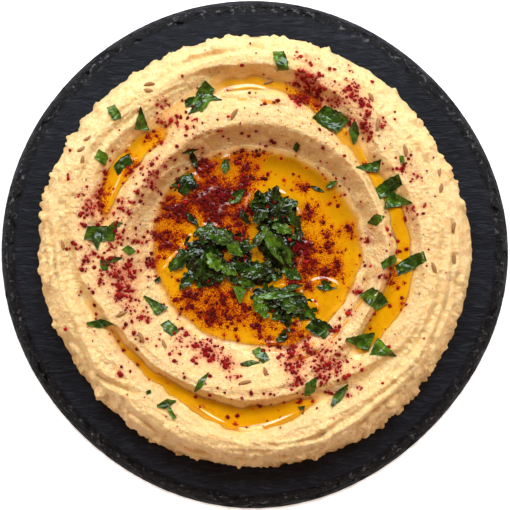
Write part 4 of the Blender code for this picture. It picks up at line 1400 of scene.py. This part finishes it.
def build_cumin():
    heap = Heap()
    t = np.linspace(-1.0, 1.0, SEED_MESH[0])[:, None]
    around_seed = (np.arange(SEED_MESH[1]) * 2 * math.pi / SEED_MESH[1])[None, :]
    rib = np.cos(SEED_RIBS * around_seed)
    blunt, steep = SEED_POWERS
    swell = np.clip(1.0 - np.abs(t) ** blunt, 0.0, 1.0) ** steep + SEED_STUB
    girth = SEED_RADIUS * swell * (1.0 + SEED_RIB_DEPTH * rib)
    rows, columns = SEED_MESH
    faces = [tuple(f) for f in grid_faces(rows, columns)]
    faces += [tuple(range(columns))[::-1], tuple((rows - 1) * columns + i for i in range(columns))]
    chance = np.random.default_rng(12)
    for angle, radius, turn in SEEDS:
        long = SEED_LENGTH * chance.uniform(*SEED_LENGTHS)
        bend = chance.uniform(-SEED_BEND, SEED_BEND)
        aside = girth * np.cos(around_seed) + bend * (1 - t**2)
        up = girth * np.sin(around_seed) * SEED_FLATNESS
        points = np.stack([0.5 * long * t + 0 * girth, aside, up], axis=-1).reshape(-1, 3)
        points = tipped(points, turn, chance.uniform(-SEED_PITCH, SEED_PITCH), 0.0)
        x, y = flat_xy(radius, angle)
        height, _ = top_at(np.array([x]), np.array([y]))
        points = points + np.array([x, y, height[0] + SEED_RISE * SEED_RADIUS + PLATE_THICKNESS])
        ribs = np.broadcast_to(0.5 + 0.5 * rib, (rows, columns)).ravel()
        heap.add(points, faces, rib=ribs)
    made = heap.build("cumin_seeds", cumin_material())


# ---------------------------------------------------------------- olive oil

OIL_SIDES = 600
POOL_SHARE = 0.85  # of the well's radius, beyond which the rows lie closer
POOL_ROWS = 60
BANK_ROWS = 44
GROOVE_SHEETS = ((UPPER_GROOVE, -52.0, 176.0, 10.0), (LOWER_GROOVE, 196.5, 299.5, 9.0))
GROOVE_ROWS = 44
GROOVE_STEP = 0.5
GROOVE_MARGIN = 1.2
OIL_STAIN = (0.30, 0.013)
SPICE_LUMPS = (0.04, 0.34)
SWELL_TINT = 2.0
SHADED_THICKNESS = (0.2, 1.6)
OIL_TINTS = (
    (0.0, (0.92, 0.54, 0.12)), (0.15, (0.86, 0.41, 0.016)), (0.4, (0.76, 0.365, 0.0040)),
    (1.0, (0.74, 0.345, 0.0018)),
)  # fmt: skip
OIL_REDS = (
    (0.0, (0.80, 0.26, 0.003)), (0.3, (0.58, 0.12, 0.002)), (0.65, (0.24, 0.016, 0.002)),
    (1.0, (0.085, 0.003, 0.001)),
)  # fmt: skip


def oil_material():
    n = Material("olive_oil")
    depth, stain, shade = (n.attribute(name) for name in ("depth", "stain", "shade"))
    cloudy = n.noise(9.0, 2.0, 0.5)
    murky = n.noise(2.4, 3.0, 0.6)
    powder = n.noise(0.55, 3.0, 0.7)
    ripple = n.noise(6.0, 2.0, 0.5)
    tint = n.ramp(n.between(depth, 0.0, 4.0), OIL_TINTS)
    tint = n.tinted(tint, cloudy, 0.30, 0.7, 0.55, (0.56, 0.245, 0.0018))
    tint = n.tinted(tint, murky, 0.42, 0.68, 0.4, (0.60, 0.265, 0.0018))
    tint = n.mix(n.times(shade, 0.92), tint, (0.21, 0.065, 0.0008))
    spotty = n.times(n.between(powder, 0.35, 0.68, -0.35, 0.35), n.between(stain, 0.0, 0.3))
    dusted = n.maths("ADD", stain, spotty)
    tint = n.mix(n.between(dusted, 0.03, 0.35), tint, n.ramp(dusted, OIL_REDS))
    height = n.total((ripple, 0.35), (powder, n.times(stain, 0.5)))
    alpha = n.between(depth, 0.05, 1.35)
    n.set(Base_Color=tint, Roughness=0.05, Alpha=alpha, Normal=n.bump(height, 0.25))
    return n.set(IOR=1.47, Specular_IOR_Level=0.8)


def shaded_side(radius, angle):
    """How far what lies under the oil is in the shade of the far bank."""
    turned = np.asarray(angle) % FULL_TURN
    edge, crest = around(POOL_EDGE, angle), around(INNER_CREST, angle)
    facing = np.sin(np.radians(angle))
    toward = np.clip(facing, 0.0, 1.0) ** 0.6
    pool = toward * step(15.0, 1.0, edge - radius) * step(edge + 6.0, edge + 3.0, radius)
    lines = (around(groove["centre"], angle) for groove in (LOWER_GROOVE, UPPER_GROOVE))
    centre = np.where(in_lower(turned), *lines)
    groove = 0.75 * step(-0.1, 1.1, facing * (radius - centre) / 4.5)
    return np.where(radius < crest, pool, groove)


def oil_sheet(name, radii, angles, material, closed):
    """A mesh of the oil's upper surface over a grid of radii and angles, without what lies buried."""
    ground = hummus_height(radii, angles)
    thick = oil_thickness(radii, angles, ground)
    x, y = flat_xy(radii, angles)
    stain = 1.0 - np.exp(-spice_colour(x, y, OIL_STAIN))
    swell = swells(x, y) * step(0.01, 0.15, thick)
    lift = (menisci(x, y) + spice_lift(x, y)) * step(0.05, 0.6, thick) + swell
    places = np.stack([x, y, PLATE_THICKNESS + ground + thick + lift - OIL_SUNK], axis=-1).reshape(-1, 3)
    faces = grid_faces(radii.shape[0], radii.shape[1], closed)
    used, faces = in_use(faces[(thick.reshape(-1)[faces] > OIL_SHOWN).any(axis=1)], len(places))
    made = mesh_object(name, places[used] * MM, faces, material)
    shade = shaded_side(radii, angles) * step(*SHADED_THICKNESS, thick)
    for key, values in (("depth", thick + SWELL_TINT * swell), ("stain", stain), ("shade", shade)):
        attribute(made, key, values.reshape(-1)[used])
    return made


def build_oil():
    material = oil_material()
    angle = np.arange(OIL_SIDES) * FULL_TURN / OIL_SIDES
    edge, crest = around(POOL_EDGE, angle), around(INNER_CREST, angle)
    start = edge * POOL_SHARE
    rows = [edge * share for share in np.linspace(0.0, POOL_SHARE, POOL_ROWS)]
    rows += [start + (crest - start) * share for share in np.linspace(0, 1, BANK_ROWS)[1:]]
    radii = np.array(rows)
    pool = oil_sheet("oil_in_well", radii, np.broadcast_to(angle, radii.shape), material, True)
    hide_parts("oil_pool")
    parts = []
    for groove, first, last, half in GROOVE_SHEETS:
        angle = np.linspace(first, last, int((last - first) / GROOVE_STEP) + 1)
        radii = around(groove["centre"], angle) + np.linspace(-half, half, GROOVE_ROWS)[:, None]
        radii = np.maximum(radii, around(INNER_CREST, angle) + GROOVE_MARGIN)
        parts.append((radii, np.broadcast_to(angle, radii.shape)))
    upper = oil_sheet("oil_in_upper_groove", *parts[0], material, False)
    lower = oil_sheet("oil_in_lower_groove", *parts[1], material, False)
    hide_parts("oil_groove_right", "oil_groove_top", "oil_groove_left")
    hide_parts("oil_groove_bottom")


# ---------------------------------------------------------------- light and camera

# Lengths here are metres, but for the sensor's.
CAMERA_DISTANCE = 0.62
CAMERA_OFFSET = (0.0001, -0.0002)
CAMERA_CLIP = (0.01, 20.0)
FRAME_WIDTH = 0.2203
SENSOR = 36.0
LIT_HEIGHT = 0.01
KEY_TURN = 90.0
KEY_ELEVATION = 47.0
KEY_DISTANCE = 1.1
KEY_SIZE = (1.3, 0.42)
KEY_POWER = 17.3
KEY_COLOUR = (0.73, 0.90, 1.0)
SKY_COLOUR = (1.0, 0.485, 0.23)
SKY_BANDS = ((0.0, 0.80), (0.45, 1.0), (0.86, 0.28), (1.0, 0.02))
SKY_BEHIND = 0.50
SKY_TURN = (-0.7, 0.4)
SIDE_TURNS = (160.0, 18.0)
SIDE_SIZE = (0.9, 0.15)
SIDE_POWER = 2.4
SIDE_COLOUR = (1.0, 0.90, 0.80)
FLOOR_HALF = 9.0
FLOOR_GLOW = 0.42
FLOOR_GLOW_COLOUR = (0.96, 1.0, 1.0)


def area_light(name, turn, size, power, colour):
    """A light at the key's height and distance that faces the serving."""
    data = bpy.data.lights.new(name, "AREA")
    data.shape = "RECTANGLE"
    data.size, data.size_y = size
    data.energy = power
    data.color = colour
    turn, rise = math.radians(turn), math.radians(KEY_ELEVATION)
    reach = KEY_DISTANCE * math.cos(rise)
    made = linked(name, data)
    made.location = (reach * math.cos(turn), reach * math.sin(turn), KEY_DISTANCE * math.sin(rise))
    away = made.location.copy()
    away.z -= LIT_HEIGHT
    made.rotation_euler = away.to_track_quat("Z", "Y").to_euler()


def build_camera():
    data = bpy.data.cameras.new("camera")
    data.sensor_width = SENSOR
    data.lens = SENSOR * CAMERA_DISTANCE / FRAME_WIDTH
    data.clip_start, data.clip_end = CAMERA_CLIP
    camera = linked("camera", data)
    camera.location = (*CAMERA_OFFSET, PLATE_THICKNESS * MM + CAMERA_DISTANCE)
    bpy.context.scene.camera = camera


def build_world():
    """A warm sky, darker on the near side, and a white backdrop for the camera."""
    n = Nodes(bpy.data.worlds.new("studio"))
    sky, output = n.tree.nodes["Background"], n.tree.nodes["World Output"]
    upward = n.node("SeparateXYZ", {"Vector": n.node("TexCoord").outputs["Generated"]}).outputs
    bands = [(height, tuple(c * brightness for c in SKY_COLOUR)) for height, brightness in SKY_BANDS]
    n.put(sky.inputs["Color"], n.ramp(upward["Z"], bands))
    n.put(sky.inputs["Strength"], n.between(upward["Y"], *SKY_TURN, SKY_BEHIND, 1.0, "LINEAR"))
    backdrop = n.node("Background", {"Color": (1.0, 1.0, 1.0)})
    seen = n.node("LightPath").outputs["Is Camera Ray"]
    choice = n.node("MixShader", {0: seen, 1: sky.outputs[0], 2: backdrop.outputs[0]})
    n.put(output.inputs["Surface"], choice.outputs[0])
    bpy.context.scene.world = n.owner


def build_floor():
    material = Material("studio_floor")
    material.set(Base_Color=(0.9, 0.9, 0.9), Roughness=0.9)
    material.set(Emission_Color=FLOOR_GLOW_COLOUR, Emission_Strength=FLOOR_GLOW)
    mesh = bpy.data.meshes.new("floor")
    corners = [(x * FLOOR_HALF, y * FLOOR_HALF, 0) for x, y in ((-1, -1), (1, -1), (1, 1), (-1, 1))]
    mesh.from_pydata(corners, [], [(0, 1, 2, 3)])
    mesh.materials.append(material.owner)
    floor = linked("floor", mesh)


def build_studio():
    build_camera()
    area_light("key", KEY_TURN, KEY_SIZE, KEY_POWER, KEY_COLOUR)
    for number, turn in enumerate(SIDE_TURNS):
        area_light(f"side_{number}", turn, SIDE_SIZE, SIDE_POWER, SIDE_COLOUR)
    build_world()
    bpy.context.scene.view_settings.view_transform = "Standard"
    build_floor()


FLAKES, POWDER = paprika_spots()
SPICE_NEAR = spice_map(np.concatenate([FLAKES, POWDER]), 1.1, 0.35)
SPICE_WIDE = spice_map(np.concatenate([FLAKES, POWDER]), 1.5, 2.4)
build_slate()
build_hummus()
build_oil()
build_parsley()
build_paprika()
build_cumin()
build_studio()
